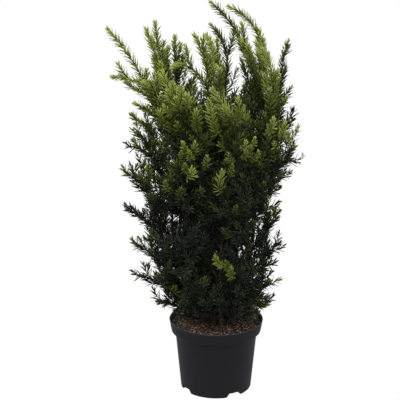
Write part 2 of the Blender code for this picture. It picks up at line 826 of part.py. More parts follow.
def join_mass(name, shoots, material):
    """One solid from a mass's shoots, joined by a union on their collection."""
    group = bpy.data.collections.new(name)
    bpy.context.scene.collection.children.link(group)
    main = None
    for shoot in shoots:
        vertices, faces = shoot.mesh()
        obj = new_object("shoot" if main else "foliage_" + name, vertices, faces, material)
        if main is None:
            main = obj
            continue
        bpy.context.scene.collection.objects.unlink(obj)
        group.objects.link(obj)
    if len(shoots) > 1:
        union = main.modifiers.new("union", "BOOLEAN")
        union.operation = "UNION"
        union.operand_type = "COLLECTION"
        union.collection = group
        union.solver = "EXACT"
        bpy.context.view_layer.update()
        graph = bpy.context.evaluated_depsgraph_get()
        joined = bpy.data.meshes.new_from_object(main.evaluated_get(graph))
        main.modifiers.clear()
        main.data = joined
    for obj in list(group.objects):
        bpy.data.objects.remove(obj, do_unlink=True)
    bpy.data.collections.remove(group)
    keep_main_body(main.data)


def foliage_material(materials, shoots):
    """By how high the mass reaches: light at the top of the crown, dark low down."""
    height = shoots[0].points[-1][2]
    if height > LIGHT_ABOVE:
        return materials["needles_light"]
    return materials["needles_green"] if height > GREEN_ABOVE else materials["needles_dark"]


def main():
    clear_scene()
    materials = make_materials()
    make_pot(materials)
    stems = make_stems()
    boughs = make_boughs(stems)
    for limb in list(stems.values()) + list(boughs.values()):
        limb.build(materials["bark"])
    crown = Crown(stems, boughs)
    crown.grow()
    for name, shoots in crown.masses.items():
        join_mass(name, shoots, foliage_material(materials, shoots))


main()
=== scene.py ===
"""Looks of the hybrid yew in its nursery pot: bark, twigs, needles, soil chips and the pot's shell.

Metres, +Z up. The shoots grow by the same rule as the solids', carried on to finer twigs and needles.
"""
import json
import math

import bpy
import numpy as np
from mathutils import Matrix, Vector, noise


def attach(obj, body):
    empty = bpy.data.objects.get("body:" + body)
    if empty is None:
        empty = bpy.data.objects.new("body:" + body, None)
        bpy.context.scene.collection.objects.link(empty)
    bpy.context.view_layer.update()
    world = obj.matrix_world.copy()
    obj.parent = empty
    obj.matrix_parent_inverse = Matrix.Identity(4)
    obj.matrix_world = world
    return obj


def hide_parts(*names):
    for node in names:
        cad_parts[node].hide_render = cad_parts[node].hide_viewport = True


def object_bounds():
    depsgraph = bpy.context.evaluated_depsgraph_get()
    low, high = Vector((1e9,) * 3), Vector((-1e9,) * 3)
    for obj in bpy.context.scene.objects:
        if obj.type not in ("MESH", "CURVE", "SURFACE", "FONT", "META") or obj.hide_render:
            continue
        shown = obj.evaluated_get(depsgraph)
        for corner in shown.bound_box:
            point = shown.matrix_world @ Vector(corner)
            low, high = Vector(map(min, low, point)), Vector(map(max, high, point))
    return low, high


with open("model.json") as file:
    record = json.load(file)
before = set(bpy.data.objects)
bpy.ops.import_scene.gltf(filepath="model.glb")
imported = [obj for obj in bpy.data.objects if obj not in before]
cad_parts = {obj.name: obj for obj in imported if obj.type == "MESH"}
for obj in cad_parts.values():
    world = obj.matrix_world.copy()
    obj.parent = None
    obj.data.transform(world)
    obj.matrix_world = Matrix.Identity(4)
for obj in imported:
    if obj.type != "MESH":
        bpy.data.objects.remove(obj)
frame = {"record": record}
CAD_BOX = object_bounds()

BODY = "root"

# The photo's camera, looking along +Y and tilted down
CAMERA = np.array((-0.0448, -3.0, 1.388))
CAMERA_PITCH = math.radians(15.78)
LENS_MM = 103.95
SENSOR_MM = 36.0
FARTHEST = 200.0

# Gaps that the solids keep between pieces
GAP = 0.0003
SEAT = 0.00045
UP = np.array((0.0, 0.0, 1.0))
RIGHT = np.array((1.0, 0.0, 0.0))
LEVEL = np.array((1.0, 1.0, 0.0))
GOLDEN_TURN = math.radians(137.5)

# Pot, a turned plastic shell
POT_HEIGHT = 0.2015
RIM_RADIUS = 0.130
COLLAR_FOOT_RADIUS = 0.124
COLLAR_HEIGHT = 0.036
SHOULDER_RADIUS = 0.113
FOOT_RADIUS = 0.098
WALL = 0.0025
FLOOR = 0.018
ROUND_EDGE = 0.003
POT_SIDES = 128
POT_ROUNDING = 0.0012
POT_ROUND_STEPS = 3
ROUNDING_REACH = 0.45
POT_SHARP_ANGLE = math.radians(35)

# Drainage notches in the pot's foot
NOTCH_COUNT = 4
FIRST_NOTCH = math.radians(-59)
NOTCH_HEIGHT = 0.013
NOTCH_FOOT_WIDTH = 0.048
NOTCH_TOP_WIDTH = 0.034
NOTCH_DEPTH = 0.050

# Soil
SOIL_TOP = 0.190
SOIL_EDGE_DROP = 0.003
SOIL_FLAT_RADIUS = 0.080

# Stems from the soil: foot x and y, top x, y and z, then radius at the foot and at the top
STEMS = {
    "trunk": (-0.009, 0.000, -0.013, 0.000, 0.670, 0.0105, 0.0042),
    "stem_left": (-0.036, -0.006, -0.118, -0.018, 0.460, 0.0064, 0.0038),
    "stem_right": (0.022, -0.004, 0.100, -0.010, 0.490, 0.0064, 0.0038),
    "stem_back_left": (-0.026, 0.027, -0.072, 0.086, 0.470, 0.0060, 0.0036),
    "stem_back_right": (0.014, 0.027, 0.064, 0.084, 0.480, 0.0060, 0.0036),
    "stem_front": (-0.008, -0.030, 0.012, -0.080, 0.440, 0.0060, 0.0036),
}
# How far sideways a stem's first direction would take it: the trunk bows left, the others spread
TRUNK_BOW = -0.102
STEM_SPREAD = 1.10
STEM_RECOVERY = 0.30
FLARE = 0.55
FLARE_HEIGHT = 0.012
STEM_SIDES = 5
STEM_STEP = 0.040

# Boughs
BOUGH_LENGTH = 0.090
BOUGH_RADIUS = 0.0036
BOUGH_TIP_RADIUS = 0.0029
BOUGH_ANGLE = math.radians(38)
BOUGH_END_SPREAD = 0.25
BOUGH_SIDES = 5
BOUGH_STEP = 0.030

# Leading shoots: the limb that carries each, how far along it (1 is its tip, less needs a bough),
# the place of the shoot's tip, and the tip's heading in degrees, from level left turned upwards
LEADERS = {
    "left_long": ("stem_left", 1.00, (-0.281, -0.020, 1.001), 47),
    "left_low": ("stem_left", 0.62, (-0.267, -0.060, 0.886), 0),
    "left_pair": ("stem_left", 0.85, (-0.162, 0.035, 1.011), 84),
    "back_left": ("stem_back_left", 1.00, (-0.112, 0.090, 0.967), 90),
    "middle_pair": ("trunk", 0.62, (-0.058, -0.050, 0.990), 58),
    "middle": ("trunk", 1.00, (-0.015, 0.040, 1.004), 42),
    "top": ("stem_right", 1.00, (-0.015, -0.010, 1.068), 39),
    "second_top": ("stem_back_right", 1.00, (0.033, 0.080, 1.049), 23),
    "right_light": ("stem_right", 0.58, (0.098, -0.055, 0.972), 47),
    "right_dark": ("stem_right", 0.78, (0.174, 0.030, 0.930), 92),
    "front": ("stem_front", 1.00, (-0.002, -0.130, 0.815), 40),
    "front_left": ("stem_front", 0.66, (-0.120, -0.110, 0.850), 60),
    "rear_left": ("stem_back_left", 0.62, (-0.140, 0.140, 0.900), 75),
    "rear_middle": ("stem_back_left", 0.82, (-0.020, 0.145, 0.955), 60),
    "rear_right": ("stem_back_right", 0.68, (0.120, 0.135, 0.905), 80),
}

# Spreading sprays at the sides and in the middle: place of the tip and the tip's heading
SPREADING = {
    "left_1": ((-0.158, -0.030, 0.259), 0),
    "left_2": ((-0.210, 0.010, 0.320), 10),
    "left_3": ((-0.219, -0.040, 0.427), 25),
    "left_4": ((-0.242, 0.000, 0.512), 12),
    "left_5": ((-0.240, -0.030, 0.624), 28),
    "left_6": ((-0.211, 0.030, 0.720), 50),
    "right_1": ((0.138, 0.000, 0.240), 195),
    "right_2": ((0.142, -0.040, 0.320), 150),
    "right_3": ((0.171, 0.010, 0.415), 140),
    "right_4": ((0.162, -0.030, 0.495), 135),
    "right_5": ((0.173, 0.030, 0.596), 130),
    "right_6": ((0.206, -0.020, 0.692), 130),
    "inner_1": ((0.050, -0.060, 0.390), 130),
    "inner_2": ((-0.060, -0.055, 0.440), 60),
    "inner_3": ((0.005, -0.070, 0.520), 80),
    "inner_4": ((-0.010, 0.055, 0.430), 100),
}

# Front and back sprays stand in rows, turned by turns to the left and right of straight out
ROW_HEIGHTS = (0.265, 0.320, 0.385, 0.470, 0.570, 0.680)
ROW_TURN = math.radians(30)
ROW_CLIMB = 52
LOW_CLIMB = 30
SIDE_CLIMB = 50
LOW_TIPS = 0.35

# More tips on a mass's main shoot: mass, share of the main shoot, tip place and heading
FORKS = (
    ("left_pair", 0.50, (-0.185, 0.015, 0.998), 69),
    ("left_low", 0.62, (-0.214, -0.050, 0.854), 25),
    ("left_low", 0.42, (-0.211, -0.075, 0.819), 25),
    ("left_long", 0.25, (-0.203, -0.015, 0.760), 40),
    ("middle_pair", 0.80, (-0.036, -0.045, 0.985), 100),
    ("middle_pair", 0.66, (-0.113, -0.075, 0.912), -48),
    ("top", 0.50, (0.063, -0.040, 0.975), 60),
    ("right_dark", 0.45, (0.194, 0.020, 0.841), 125),
    ("right_dark", 0.12, (0.200, 0.010, 0.758), 125),
    ("left_6", 0.45, (-0.217, 0.000, 0.687), 20),
    ("right_6", 0.45, (0.199, 0.010, 0.651), 150),
)

# The crown's outline: height, furthest left and furthest right of the leafy part
OUTLINE = (
    (0.215, -0.120, 0.120),
    (0.300, -0.150, 0.135),
    (0.420, -0.190, 0.155),
    (0.520, -0.185, 0.140),
    (0.620, -0.205, 0.170),
    (0.700, -0.205, 0.200),
    (0.820, -0.205, 0.190),
    (0.900, -0.180, 0.170),
    (0.960, -0.150, 0.110),
    (1.040, -0.020, 0.075),
)
CROWN_DEPTH_SHARE = 0.88

# Where a spreading spray may start along a limb, and how much its slope counts in choosing
FIRST_SHARE = 0.12
LAST_SHARE = 0.92
SHARES_TRIED = 17
CLIMB_WEIGHT = 0.60

# Smooth paths
ARC_REACH = 0.36
ARC_SAMPLES = 60
LEVEL_ENOUGH = 0.8

# Shoots
LEADER_RADIUS = 0.0026
SPRAY_RADIUS = 0.0022
TIP_RADIUS = 0.0008
SIDE_SHARE = 0.75
SHOOT_STEP = 0.0206
FORK_TURN = 0.8
LEADER_SPACING = 0.120
SPRAY_SPACING = 0.030
SIDE_ANGLE = math.radians(46)
SIDE_LONGEST = 0.110
SIDE_SHORTEST = 0.030
SIDE_LENGTHS = (0.7, 1.0)
SIDE_SHORTENING = 0.4
SIDE_FIRST = 0.10
SIDE_RUN = 0.70
SIDE_SCATTER = (0.2, 0.8)
SIDE_FREE_TOP = 0.905
TRIES = 6
ROOM_WORTH = 0.020
PATH_RADIUS = 0.003
RISE = 0.35
TIP_RISE = 0.70
SPACE_SLACK = 0.020

# How clear shoots stay of each other
CLEAR = 0.0009
PASSING = 0.004
MOST_RODS = 30000
SEED = 11

# Bark: sides round a limb and rings along it. Its ridges and its flakes each have a depth, a fineness
# round the limb, one along it, and a shift.
BARK_SIDES = 26
BARK_STEP = 0.0035
BARK_SMOOTHING = 3
BARK_RELIEF = ((0.10, 2.6, 34.0, 0.0), (0.06, 6.0, 150.0, 9.0))
LIMB_END = 0.018

# Soil: its relief, whose lumps have a fineness, a weight and a shift, and the chips that lie on it.
# Each shade of chip has its share of them, its size against the others, and its colour.
SOIL_RINGS = 22
SOIL_SIDES = 96
SOIL_RELIEF = 0.0016
SOIL_LUMPS = ((70, 1.0, 0.0), (210, 0.6, 3.0))
CHIP_COUNT = 4200
CHIP_LENGTH = (0.0022, 0.0066)
CHIP_EDGE_RADIUS = 0.1205
CHIP_WIDTHS = (0.3, 0.75)
CHIP_DEPTHS = (0.12, 0.35)
CHIP_CORNERS = (0.65, 1.0)
CHIP_TILT = 0.22
CHIP_LIFT = 0.5
CHIP_SHADES = {
    "dark": (0.36, 1.0, (0.036, 0.020, 0.015)),
    "brown": (0.40, 1.0, (0.135, 0.076, 0.055)),
    "tan": (0.20, 1.0, (0.400, 0.280, 0.190)),
    "pale": (0.04, 0.6, (0.640, 0.580, 0.440)),
}
CHIP_FINISH = (0.9, 0.2)

# Grained finishes: dark and light colour, roughness, grain, depth of its relief, and specular level
GRAINED = {
    "pot_black": ((0.0094, 0.0095, 0.0125), (0.0132, 0.0134, 0.0176), 0.38, 900.0, 0.05, 0.5),
    "soil_dark": ((0.028, 0.018, 0.014), (0.085, 0.055, 0.040), 0.95, 260.0, 0.8, 0.2),
    "bark_brown": ((0.026, 0.015, 0.011), (0.070, 0.040, 0.029), 0.85, 160.0, 0.6, 0.2),
}
GRAIN_DETAIL = 4.0
GRAIN_MIX = (0.35, 0.70)
GRAIN_RELIEF = 0.001

# Finer twigs, level by level: spacing along the parent, shortest and longest, and angle to the parent
TWIG_LEVELS = (
    (0.022, 0.060, 0.135, math.radians(40)),
    (0.022, 0.026, 0.055, math.radians(44)),
)
TWIG_STEP = 0.011
TWIG_TRIES = 7
TWIG_SHORTENING = 0.45
# The same for twigs straight from the limbs
LIMB_SPACING = 0.018
LIMB_TWIGS = (0.050, 0.120)
LIMB_TWIG_ANGLE = math.radians(48)
# Where twigs start on a shoot, the height that they stop at, and how they bend upwards
TWIG_FIRST = 0.10
TWIG_FREE_TOP = 0.945
TWIG_RISE = 0.55
TWIG_END_RISE = 1.10
# The body that twigs fill: height, furthest left and furthest right. A twig may go a little past it.
BODY_FILL = (
    (0.215, -0.068, 0.086),
    (0.310, -0.068, 0.074),
    (0.360, -0.068, 0.054),
    (0.427, -0.082, 0.062),
    (0.490, -0.094, 0.076),
    (0.560, -0.100, 0.096),
    (0.620, -0.104, 0.130),
    (0.680, -0.116, 0.158),
    (0.740, -0.142, 0.178),
    (0.800, -0.165, 0.176),
    (0.870, -0.182, 0.160),
    (0.930, -0.165, 0.135),
    (0.990, -0.060, 0.085),
)
BODY_DEPTH_SHARE = 1.06
OWN_REACH = 0.022
OWN_END_REACH = 0.042
OWN_END = 0.55
# Near the leading shoots' tops twigs are fewer, more upright and thickly needled, and none are short
BRUSH_ABOVE = 0.79
BRUSH_SKIPPED = 0.55
BRUSH_ANGLE = math.radians(30)
BRUSH_LONGEST = 0.060
# Lower down, twigs are a little fewer, and the crown's heart has fewer needles
SPARSE_BELOW = 0.56
SPARSE_LOW = 0.08
BARE_HEART = 0.34
BARE_HEART_SHARE = 0.25
# Crowding: the cells that count what is there, and the most that a twig may meet
TWIG_CELL = 0.014
TWIG_MOST_CROWD = 5.0
TWIG_LENGTH_WORTH = 0.5
CELL_SIDES = ((0, 0, 0), (1, 0, 0), (-1, 0, 0), (0, 1, 0), (0, -1, 0), (0, 0, 1), (0, 0, -1))
# Thickness of twigs, and their two kinds of wood: piece, slot, material, colour and roughness
TWIG_ROOT_RADIUS = 0.0013
TWIG_TIP_RADIUS = 0.0005
PARENT_WORTH = 0.045
OLD_WOOD_RADIUS = 0.0015
TWIG_SIDES = 4
TWIG_WOODS = (
    ("twigs_old", "bark", "twig_brown", (0.045, 0.026, 0.018), 0.8),
    ("twigs_young", "needles_green", "twig_green", (0.075, 0.080, 0.026), 0.6),
)
TWIG_SPECULAR = 0.3

# Needles: how close together, how long, how wide and how far out on main shoots, twigs and sprigs
NEEDLE_KINDS = {
    "main": (0.0017, 0.0240, 0.0039, math.radians(46)),
    "twig": (0.0029, 0.0245, 0.0038, math.radians(50)),
    "sprig": (0.0015, 0.0170, 0.0036, math.radians(56)),
}
NEEDLE_FIRST = 0.003
NEEDLE_LENGTHS = (0.88, 1.10)
NEEDLE_TIP_SHARE = 0.58
NEEDLE_RIDGE = 0.26
NEEDLE_RINGS = (0.15, 0.72)
NEEDLE_BEND = 0.09
NEEDLE_TIP_LEAN = math.radians(25)
NEEDLE_SCATTER = math.radians(6)
NEEDLE_TURN_SCATTER = 0.15
NEEDLE_FINISH = (0.50, 0.25)
UPRIGHT_ENOUGH = 0.05
TUFT = 0.026
FLATTEN = 0.60
DROOP = 0.16
BOX_MARGIN = 0.008
SOIL_MARGIN = 0.002

# How light a needle is, from 0 to 1: by height, by nearness to the outline and to the shoot's tip. Light tips
# are new growth; the darker low and inner needles are partly painted shade.
# Painted light and shade by height: needles darker low down under the crown, lighter high up where the light
# falls
DARK_BELOW = 0.53
LIGHT_FROM = 0.98
BASE_LIGHT = 0.07
HEIGHT_LIGHT = 0.50
# Partly painted shade, partly older needles' own colour: needles deep inside the crown darker than at its
# outline, more so low down
OUTER_LIGHT = 0.27
OUTER_FROM = 0.55
OUTER_LOW_SHARE = 0.4
TIP_LIGHT = 0.28
MAIN_LIGHT = 0.08
MAIN_TIP_LIGHT = 0.14
MAIN_LIGHT_FROM = 0.80
# Painted shade: tips low in the middle of the crown lighten less than those high up or at its sides
LOW_TIP_SHARE = 0.22
ASIDE_FROM = 2 / 3
TIP_GLOW = 0.026
SHOOT_CHANCE = 0.14
MAIN_CHANCE = SHOOT_CHANCE / 3
NEEDLE_CHANCE = 0.035
# Needle colours from lightest to darkest; the darkest partly stand for painted shade low and deep in the
# crown
NEEDLE_SHADES = (
    ("needles_1", "needles_light", (0.420, 0.490, 0.110)),
    ("needles_2", "needles_light", (0.290, 0.350, 0.066)),
    ("needles_3", "needles_light", (0.198, 0.248, 0.042)),
    ("needles_4", "needles_green", (0.124, 0.162, 0.029)),
    ("needles_5", "needles_green", (0.078, 0.104, 0.023)),
    ("needles_6", "needles_dark", (0.049, 0.063, 0.026)),
    ("needles_7", "needles_dark", (0.036, 0.044, 0.028)),
    ("needles_8", "needles_dark", (0.027, 0.031, 0.025)),
)

# Places on the photo's picture, as x and height in the plane Y=0 seen from the camera.
# Sprigs at the crown's front: tip, foot and how light the sprig is.
SPRIGS = (
    (-0.090, 0.698, -0.082, 0.668, 0.30),
    (-0.074, 0.673, -0.069, 0.646, 0.26),
    (-0.095, 0.673, -0.088, 0.646, 0.22),
    (-0.058, 0.698, -0.055, 0.671, 0.30),
    (-0.026, 0.660, -0.021, 0.629, 0.26),
    (-0.085, 0.638, -0.082, 0.610, 0.26),
    (-0.066, 0.624, -0.072, 0.588, 0.40),
    (0.014, 0.618, 0.001, 0.551, 0.46),
    (0.041, 0.635, 0.038, 0.607, 0.20),
    (0.033, 0.665, 0.033, 0.638, 0.18),
    (0.078, 0.701, 0.083, 0.671, 0.34),
    (0.078, 0.673, 0.084, 0.649, 0.30),
    (0.088, 0.687, 0.094, 0.657, 0.26),
    (0.101, 0.709, 0.105, 0.679, 0.30),
    (0.053, 0.521, 0.047, 0.492, 0.26),
    (0.102, 0.478, 0.094, 0.450, 0.26),
    (-0.140, 0.798, -0.129, 0.766, 0.26),
    (-0.139, 0.590, -0.126, 0.563, 0.34),
    (-0.184, 0.635, -0.163, 0.607, 0.26),
    (-0.178, 0.458, -0.159, 0.438, 0.26),
    (-0.197, 0.435, -0.176, 0.418, 0.28),
    (-0.001, 0.375, 0.029, 0.340, 0.56),
    (0.040, 0.343, 0.038, 0.308, 0.56),
    (0.026, 0.364, 0.035, 0.335, 0.48),
    (-0.011, 0.841, 0.059, 0.739, 0.40),
    (-0.021, 0.809, -0.002, 0.703, 0.34),
    (-0.176, 0.862, -0.155, 0.825, 0.22),
    (-0.118, 0.857, -0.108, 0.814, 0.20),
    (-0.095, 0.846, -0.087, 0.803, 0.18),
    (-0.129, 0.835, -0.113, 0.793, 0.20),
    (-0.079, 0.825, -0.074, 0.782, 0.16),
    (-0.108, 0.817, -0.098, 0.771, 0.18),
    (0.019, 0.793, 0.037, 0.733, 0.10),
    (-0.055, 0.782, -0.050, 0.720, 0.14),
    (0.055, 0.814, 0.069, 0.747, 0.08),
    (-0.150, 0.782, -0.135, 0.728, 0.12),
    (0.148, 0.760, 0.141, 0.706, 0.16),
    (0.180, 0.749, 0.171, 0.701, 0.24),
    (0.192, 0.722, 0.179, 0.679, 0.20),
    (0.110, 0.673, 0.116, 0.640, 0.22),
)
# Sprigs over the soil and the rim, with the depth of the tip as well
LOW_SPRIGS = (
    (0.016, 0.179, 0.008, 0.226, 0.10, -0.095),
    (-0.070, 0.226, -0.045, 0.253, 0.34, -0.030),
    (-0.056, 0.211, -0.036, 0.244, 0.20, -0.060),
    (0.133, 0.235, 0.077, 0.262, 0.26, -0.010),
    (0.138, 0.259, 0.082, 0.276, 0.24, 0.020),
    (0.113, 0.217, 0.066, 0.256, 0.16, -0.050),
    (-0.084, 0.253, -0.045, 0.273, 0.30, 0.000),
    (0.127, 0.247, 0.082, 0.288, 0.22, -0.030),
)
SPRIG_FOOT_DEPTH = 0.022
SPRIG_LIFT = 0.01
SPRIG_TIP_RISE = 0.2 * RISE
SPRIG_NEEDLED = 0.030
LONG_SPRIG = 0.045

# Depths tried for the crown's front: from, to and step
FRONT_DEPTHS = (-0.20, 0.08, 0.004)

# Leading masses that are darker or lighter than the others at their height
MASS_LIGHT = {
    "right_dark": -0.38,
    "back_left": -0.14,
    "top": -0.06,
    "second_top": -0.06,
    "middle": -0.06,
    "middle_pair": 0.12,
    "right_light": 0.10,
    "left_low": 0.06,
}

# Lighter places on the crown's front: middle, half width, half height and how much lighter
LIGHT_PLACES = (
    (-0.112, 0.852, 0.045, 0.040, 0.16),
    (0.172, 0.735, 0.028, 0.045, 0.22),
    (-0.012, 0.905, 0.022, 0.060, 0.10),
    (0.120, 0.930, 0.040, 0.060, 0.10),
)
LIGHT_PLACE_DEPTH = 0.03

# Gaps in the crown that show the background: middle, half width and half height
SKY_GAPS = (
    (0.100, 0.736, 0.0042, 0.0104),
    (0.143, 0.744, 0.0026, 0.0091),
    (0.081, 0.624, 0.0031, 0.0068),
    (0.087, 0.579, 0.0029, 0.0062),
    (0.073, 0.599, 0.0026, 0.0042),
    (-0.074, 0.568, 0.0031, 0.0057),
    (-0.072, 0.535, 0.0026, 0.0057),
    (-0.083, 0.551, 0.0023, 0.0042),
    (0.046, 0.291, 0.0026, 0.0052),
    (0.074, 0.529, 0.0029, 0.0047),
    (0.123, 0.501, 0.0029, 0.0047),
    (0.159, 0.478, 0.0026, 0.0042),
    (0.141, 0.427, 0.0029, 0.0047),
    (-0.050, 0.526, 0.0026, 0.0042),
    (0.061, 0.461, 0.0026, 0.0047),
    (0.052, 0.554, 0.0026, 0.0042),
    (0.096, 0.543, 0.0026, 0.0042),
    (0.112, 0.526, 0.0026, 0.0042),
)

# Light: the room's strength above and below, between which directions it changes, and the lamp
WORLD_ABOVE = 1.0
WORLD_BELOW = 0.22
HORIZON = (-0.10, -0.03)
KEY_PLACE = (-0.5, -1.3, 2.9)
KEY_AIM = (0.0, 0.0, 0.6)
KEY_SIZE = 1.8
KEY_WATTS = 22.0
FLOOR_SIZE = 160.0


def shaped(name, vertices, triangles, material, smooth=False):
    """A mesh object from arrays of points and of triangles."""
    vertices = np.asarray(vertices, dtype=np.float32)
    triangles = np.asarray(triangles, dtype=np.int32)
    mesh = bpy.data.meshes.new(name)
    mesh.vertices.add(len(vertices))
    mesh.vertices.foreach_set("co", vertices.ravel())
    mesh.loops.add(triangles.size)
    mesh.loops.foreach_set("vertex_index", triangles.ravel())
    mesh.polygons.add(len(triangles))
    mesh.polygons.foreach_set("loop_start", np.arange(0, triangles.size, 3, dtype=np.int32))
    mesh.update(calc_edges=True)
    mesh.materials.append(material)
    if smooth:
        mesh.shade_smooth()
    obj = bpy.data.objects.new(name, mesh)
    bpy.context.scene.collection.objects.link(obj)
    return obj


def dress(piece, nodes=()):
    """Fixes a piece to the plant and hides the solids it stands for."""
    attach(piece, BODY)
    if nodes:
        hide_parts(*nodes)


def plain_material(name, colour, roughness, specular):
    material = bpy.data.materials.new(name)
    material.use_nodes = True
    shader = material.node_tree.nodes["Principled BSDF"]
    shader.inputs["Base Color"].default_value = (*colour, 1.0)
    shader.inputs["Roughness"].default_value = roughness
    shader.inputs["Specular IOR Level"].default_value = specular
    return material


def grained_material(name):
    """Two colours mixed by fine noise, with a little relief."""
    dark, light, roughness, fineness, depth, specular = GRAINED[name]
    material = plain_material(name, dark, roughness, specular)
    nodes, links = material.node_tree.nodes, material.node_tree.links
    shader = nodes["Principled BSDF"]
    place = nodes.new("ShaderNodeTexCoord")
    grain = nodes.new("ShaderNodeTexNoise")
    grain.inputs["Scale"].default_value = fineness
    grain.inputs["Detail"].default_value = GRAIN_DETAIL
    ramp = nodes.new("ShaderNodeValToRGB")
    for stop, position, colour in zip(ramp.color_ramp.elements, GRAIN_MIX, (dark, light)):
        stop.position = position
        stop.color = (*colour, 1.0)
    relief = nodes.new("ShaderNodeBump")
    relief.inputs["Strength"].default_value = depth
    relief.inputs["Distance"].default_value = GRAIN_RELIEF
    links.new(place.outputs["Object"], grain.inputs["Vector"])
    links.new(grain.outputs["Fac"], ramp.inputs["Fac"])
    links.new(ramp.outputs["Color"], shader.inputs["Base Color"])
    links.new(grain.outputs["Fac"], relief.inputs["Height"])
    links.new(relief.outputs["Normal"], shader.inputs["Normal"])
    return material


def new_object(name, vertices, faces, material=None):
    """A mesh object whose faces may have any number of corners."""
    mesh = bpy.data.meshes.new(name)
    mesh.from_pydata([tuple(map(float, v)) for v in vertices], [], faces)
    mesh.update()
    if material:
        mesh.materials.append(material)
    obj = bpy.data.objects.new(name, mesh)
    bpy.context.scene.collection.objects.link(obj)
    return obj


def closed_rings(rings, foot, top):
    """Points and triangles of a closed tube through rings of points, capped by fans."""
    count, sides = rings.shape[:2]
    vertices = np.concatenate((rings.reshape(-1, 3), [foot, top]))
    number = np.arange(sides)
    after = (number + 1) % sides
    faces = []
    for ring in range(count - 1):
        low, high = ring * sides, (ring + 1) * sides
        faces.append(np.stack((low + number, low + after, high + after), axis=1))
        faces.append(np.stack((low + number, high + after, high + number), axis=1))
    last = (count - 1) * sides
    faces.append(np.stack((np.full(sides, count * sides), after, number), axis=1))
    faces.append(np.stack((last + number, last + after, np.full(sides, count * sides + 1)), axis=1))
    return vertices, np.concatenate(faces)


class Gathered:
    """Many small closed meshes joined into one piece."""

    def __init__(self):
        self.vertices = []
        self.faces = []
        self.count = 0

    def add(self, vertices, faces):
        self.vertices.append(vertices)
        self.faces.append(np.asarray(faces) + self.count)
        self.count += len(vertices)

    def piece(self, name, material, smooth=False):
        return shaped(name, np.concatenate(self.vertices), np.concatenate(self.faces), material, smooth)


# Pot and soil


def turned(name, profile, material):
    """A solid of revolution. The profile runs from the axis underneath, out, up and back to the axis."""
    vertices = []
    rings = []
    for radius, height in profile:
        if radius == 0.0:
            rings.append([len(vertices)] * POT_SIDES)
            vertices.append((0.0, 0.0, height))
            continue
        first = len(vertices)
        rings.append(list(range(first, first + POT_SIDES)))
        for side in range(POT_SIDES):
            angle = 2 * math.pi * side / POT_SIDES
            vertices.append((radius * math.cos(angle), radius * math.sin(angle), height))
    faces = []
    for lower, upper in zip(rings, rings[1:]):
        for side in range(POT_SIDES):
            after = (side + 1) % POT_SIDES
            corners = (lower[side], lower[after], upper[after], upper[side])
            faces.append(tuple(dict.fromkeys(corners)))
    obj = new_object(name, vertices, faces, material)
    obj.data.shade_smooth()
    obj.data.set_sharp_from_angle(angle=POT_SHARP_ANGLE)
    return obj


def shelf_height():
    """Where the collar steps out from the body."""
    return POT_HEIGHT - COLLAR_HEIGHT


def pot_profile():
    shelf = shelf_height()
    outer = [
        (0.0, 0.0),
        (FOOT_RADIUS - ROUND_EDGE, 0.0),
        (FOOT_RADIUS, ROUND_EDGE),
        (SHOULDER_RADIUS, shelf - WALL),
        (COLLAR_FOOT_RADIUS - ROUND_EDGE, shelf),
        (COLLAR_FOOT_RADIUS, shelf + ROUND_EDGE),
        (RIM_RADIUS, POT_HEIGHT - ROUND_EDGE / 2),
        (RIM_RADIUS - WALL / 2, POT_HEIGHT),
    ]
    inner = [
        (RIM_RADIUS - WALL, POT_HEIGHT - ROUND_EDGE / 2),
        (COLLAR_FOOT_RADIUS - WALL, shelf + ROUND_EDGE + WALL),
        (SHOULDER_RADIUS - WALL, shelf + WALL),
        (FOOT_RADIUS - WALL, FLOOR),
        (0.0, FLOOR),
    ]
    return outer + inner


def soil_profile():
    """The pot's inside, drawn in by the gap, up to the soil's surface."""
    shelf = shelf_height()
    draw_in = 2 * GAP
    collar_run = RIM_RADIUS - COLLAR_FOOT_RADIUS
    collar_rise = COLLAR_HEIGHT - 2 * ROUND_EDGE
    edge = SOIL_TOP - SOIL_EDGE_DROP
    edge_radius = COLLAR_FOOT_RADIUS + collar_run * (edge - shelf - ROUND_EDGE) / collar_rise
    return [
        (0.0, FLOOR + GAP),
        (FOOT_RADIUS - WALL - draw_in, FLOOR + GAP),
        (SHOULDER_RADIUS - WALL - draw_in, shelf + WALL + GAP),
        (COLLAR_FOOT_RADIUS - WALL - 2 * draw_in, shelf + ROUND_EDGE + WALL + GAP),
        (edge_radius - WALL - 2 * draw_in, edge),
        (SOIL_FLAT_RADIUS, SOIL_TOP),
        (0.0, SOIL_TOP),
    ]


def notch_cutter(angle):
    """A block with sloping sides that cuts one drainage notch through the foot of the wall."""
    low = -FLOOR
    spread = (NOTCH_FOOT_WIDTH - NOTCH_TOP_WIDTH) / NOTCH_HEIGHT
    foot_half = (NOTCH_FOOT_WIDTH + spread * FLOOR) / 2
    top_half = NOTCH_TOP_WIDTH / 2
    outline = ((-foot_half, low), (foot_half, low), (top_half, NOTCH_HEIGHT), (-top_half, NOTCH_HEIGHT))
    vertices = [
        (radius, across, height)
        for radius in (FOOT_RADIUS - NOTCH_DEPTH, SHOULDER_RADIUS)
        for across, height in outline
    ]
    faces = [(0, 3, 2, 1), (4, 5, 6, 7), (0, 1, 5, 4), (1, 2, 6, 5), (2, 3, 7, 6), (3, 0, 4, 7)]
    cutter = new_object("notch_cutter", vertices, faces)
    cutter.rotation_euler.z = angle
    return cutter


def unit(vector):
    return vector / np.linalg.norm(vector)


def rounded(profile, radius, steps):
    """The same profile with each corner drawn as a short curve."""
    points = [profile[0]]
    for before, corner, after in zip(profile, profile[1:], profile[2:]):
        corner = np.array(corner)
        to_before, to_after = np.array(before) - corner, np.array(after) - corner
        reach = min(radius, *(ROUNDING_REACH * np.linalg.norm(way) for way in (to_before, to_after)))
        first, last = corner + reach * unit(to_before), corner + reach * unit(to_after)
        for step in range(steps + 1):
            t = step / steps
            point = (1 - t) ** 2 * first + 2 * t * (1 - t) * corner + t**2 * last
            points.append(tuple(float(v) for v in point))
    points.append(profile[-1])
    return points


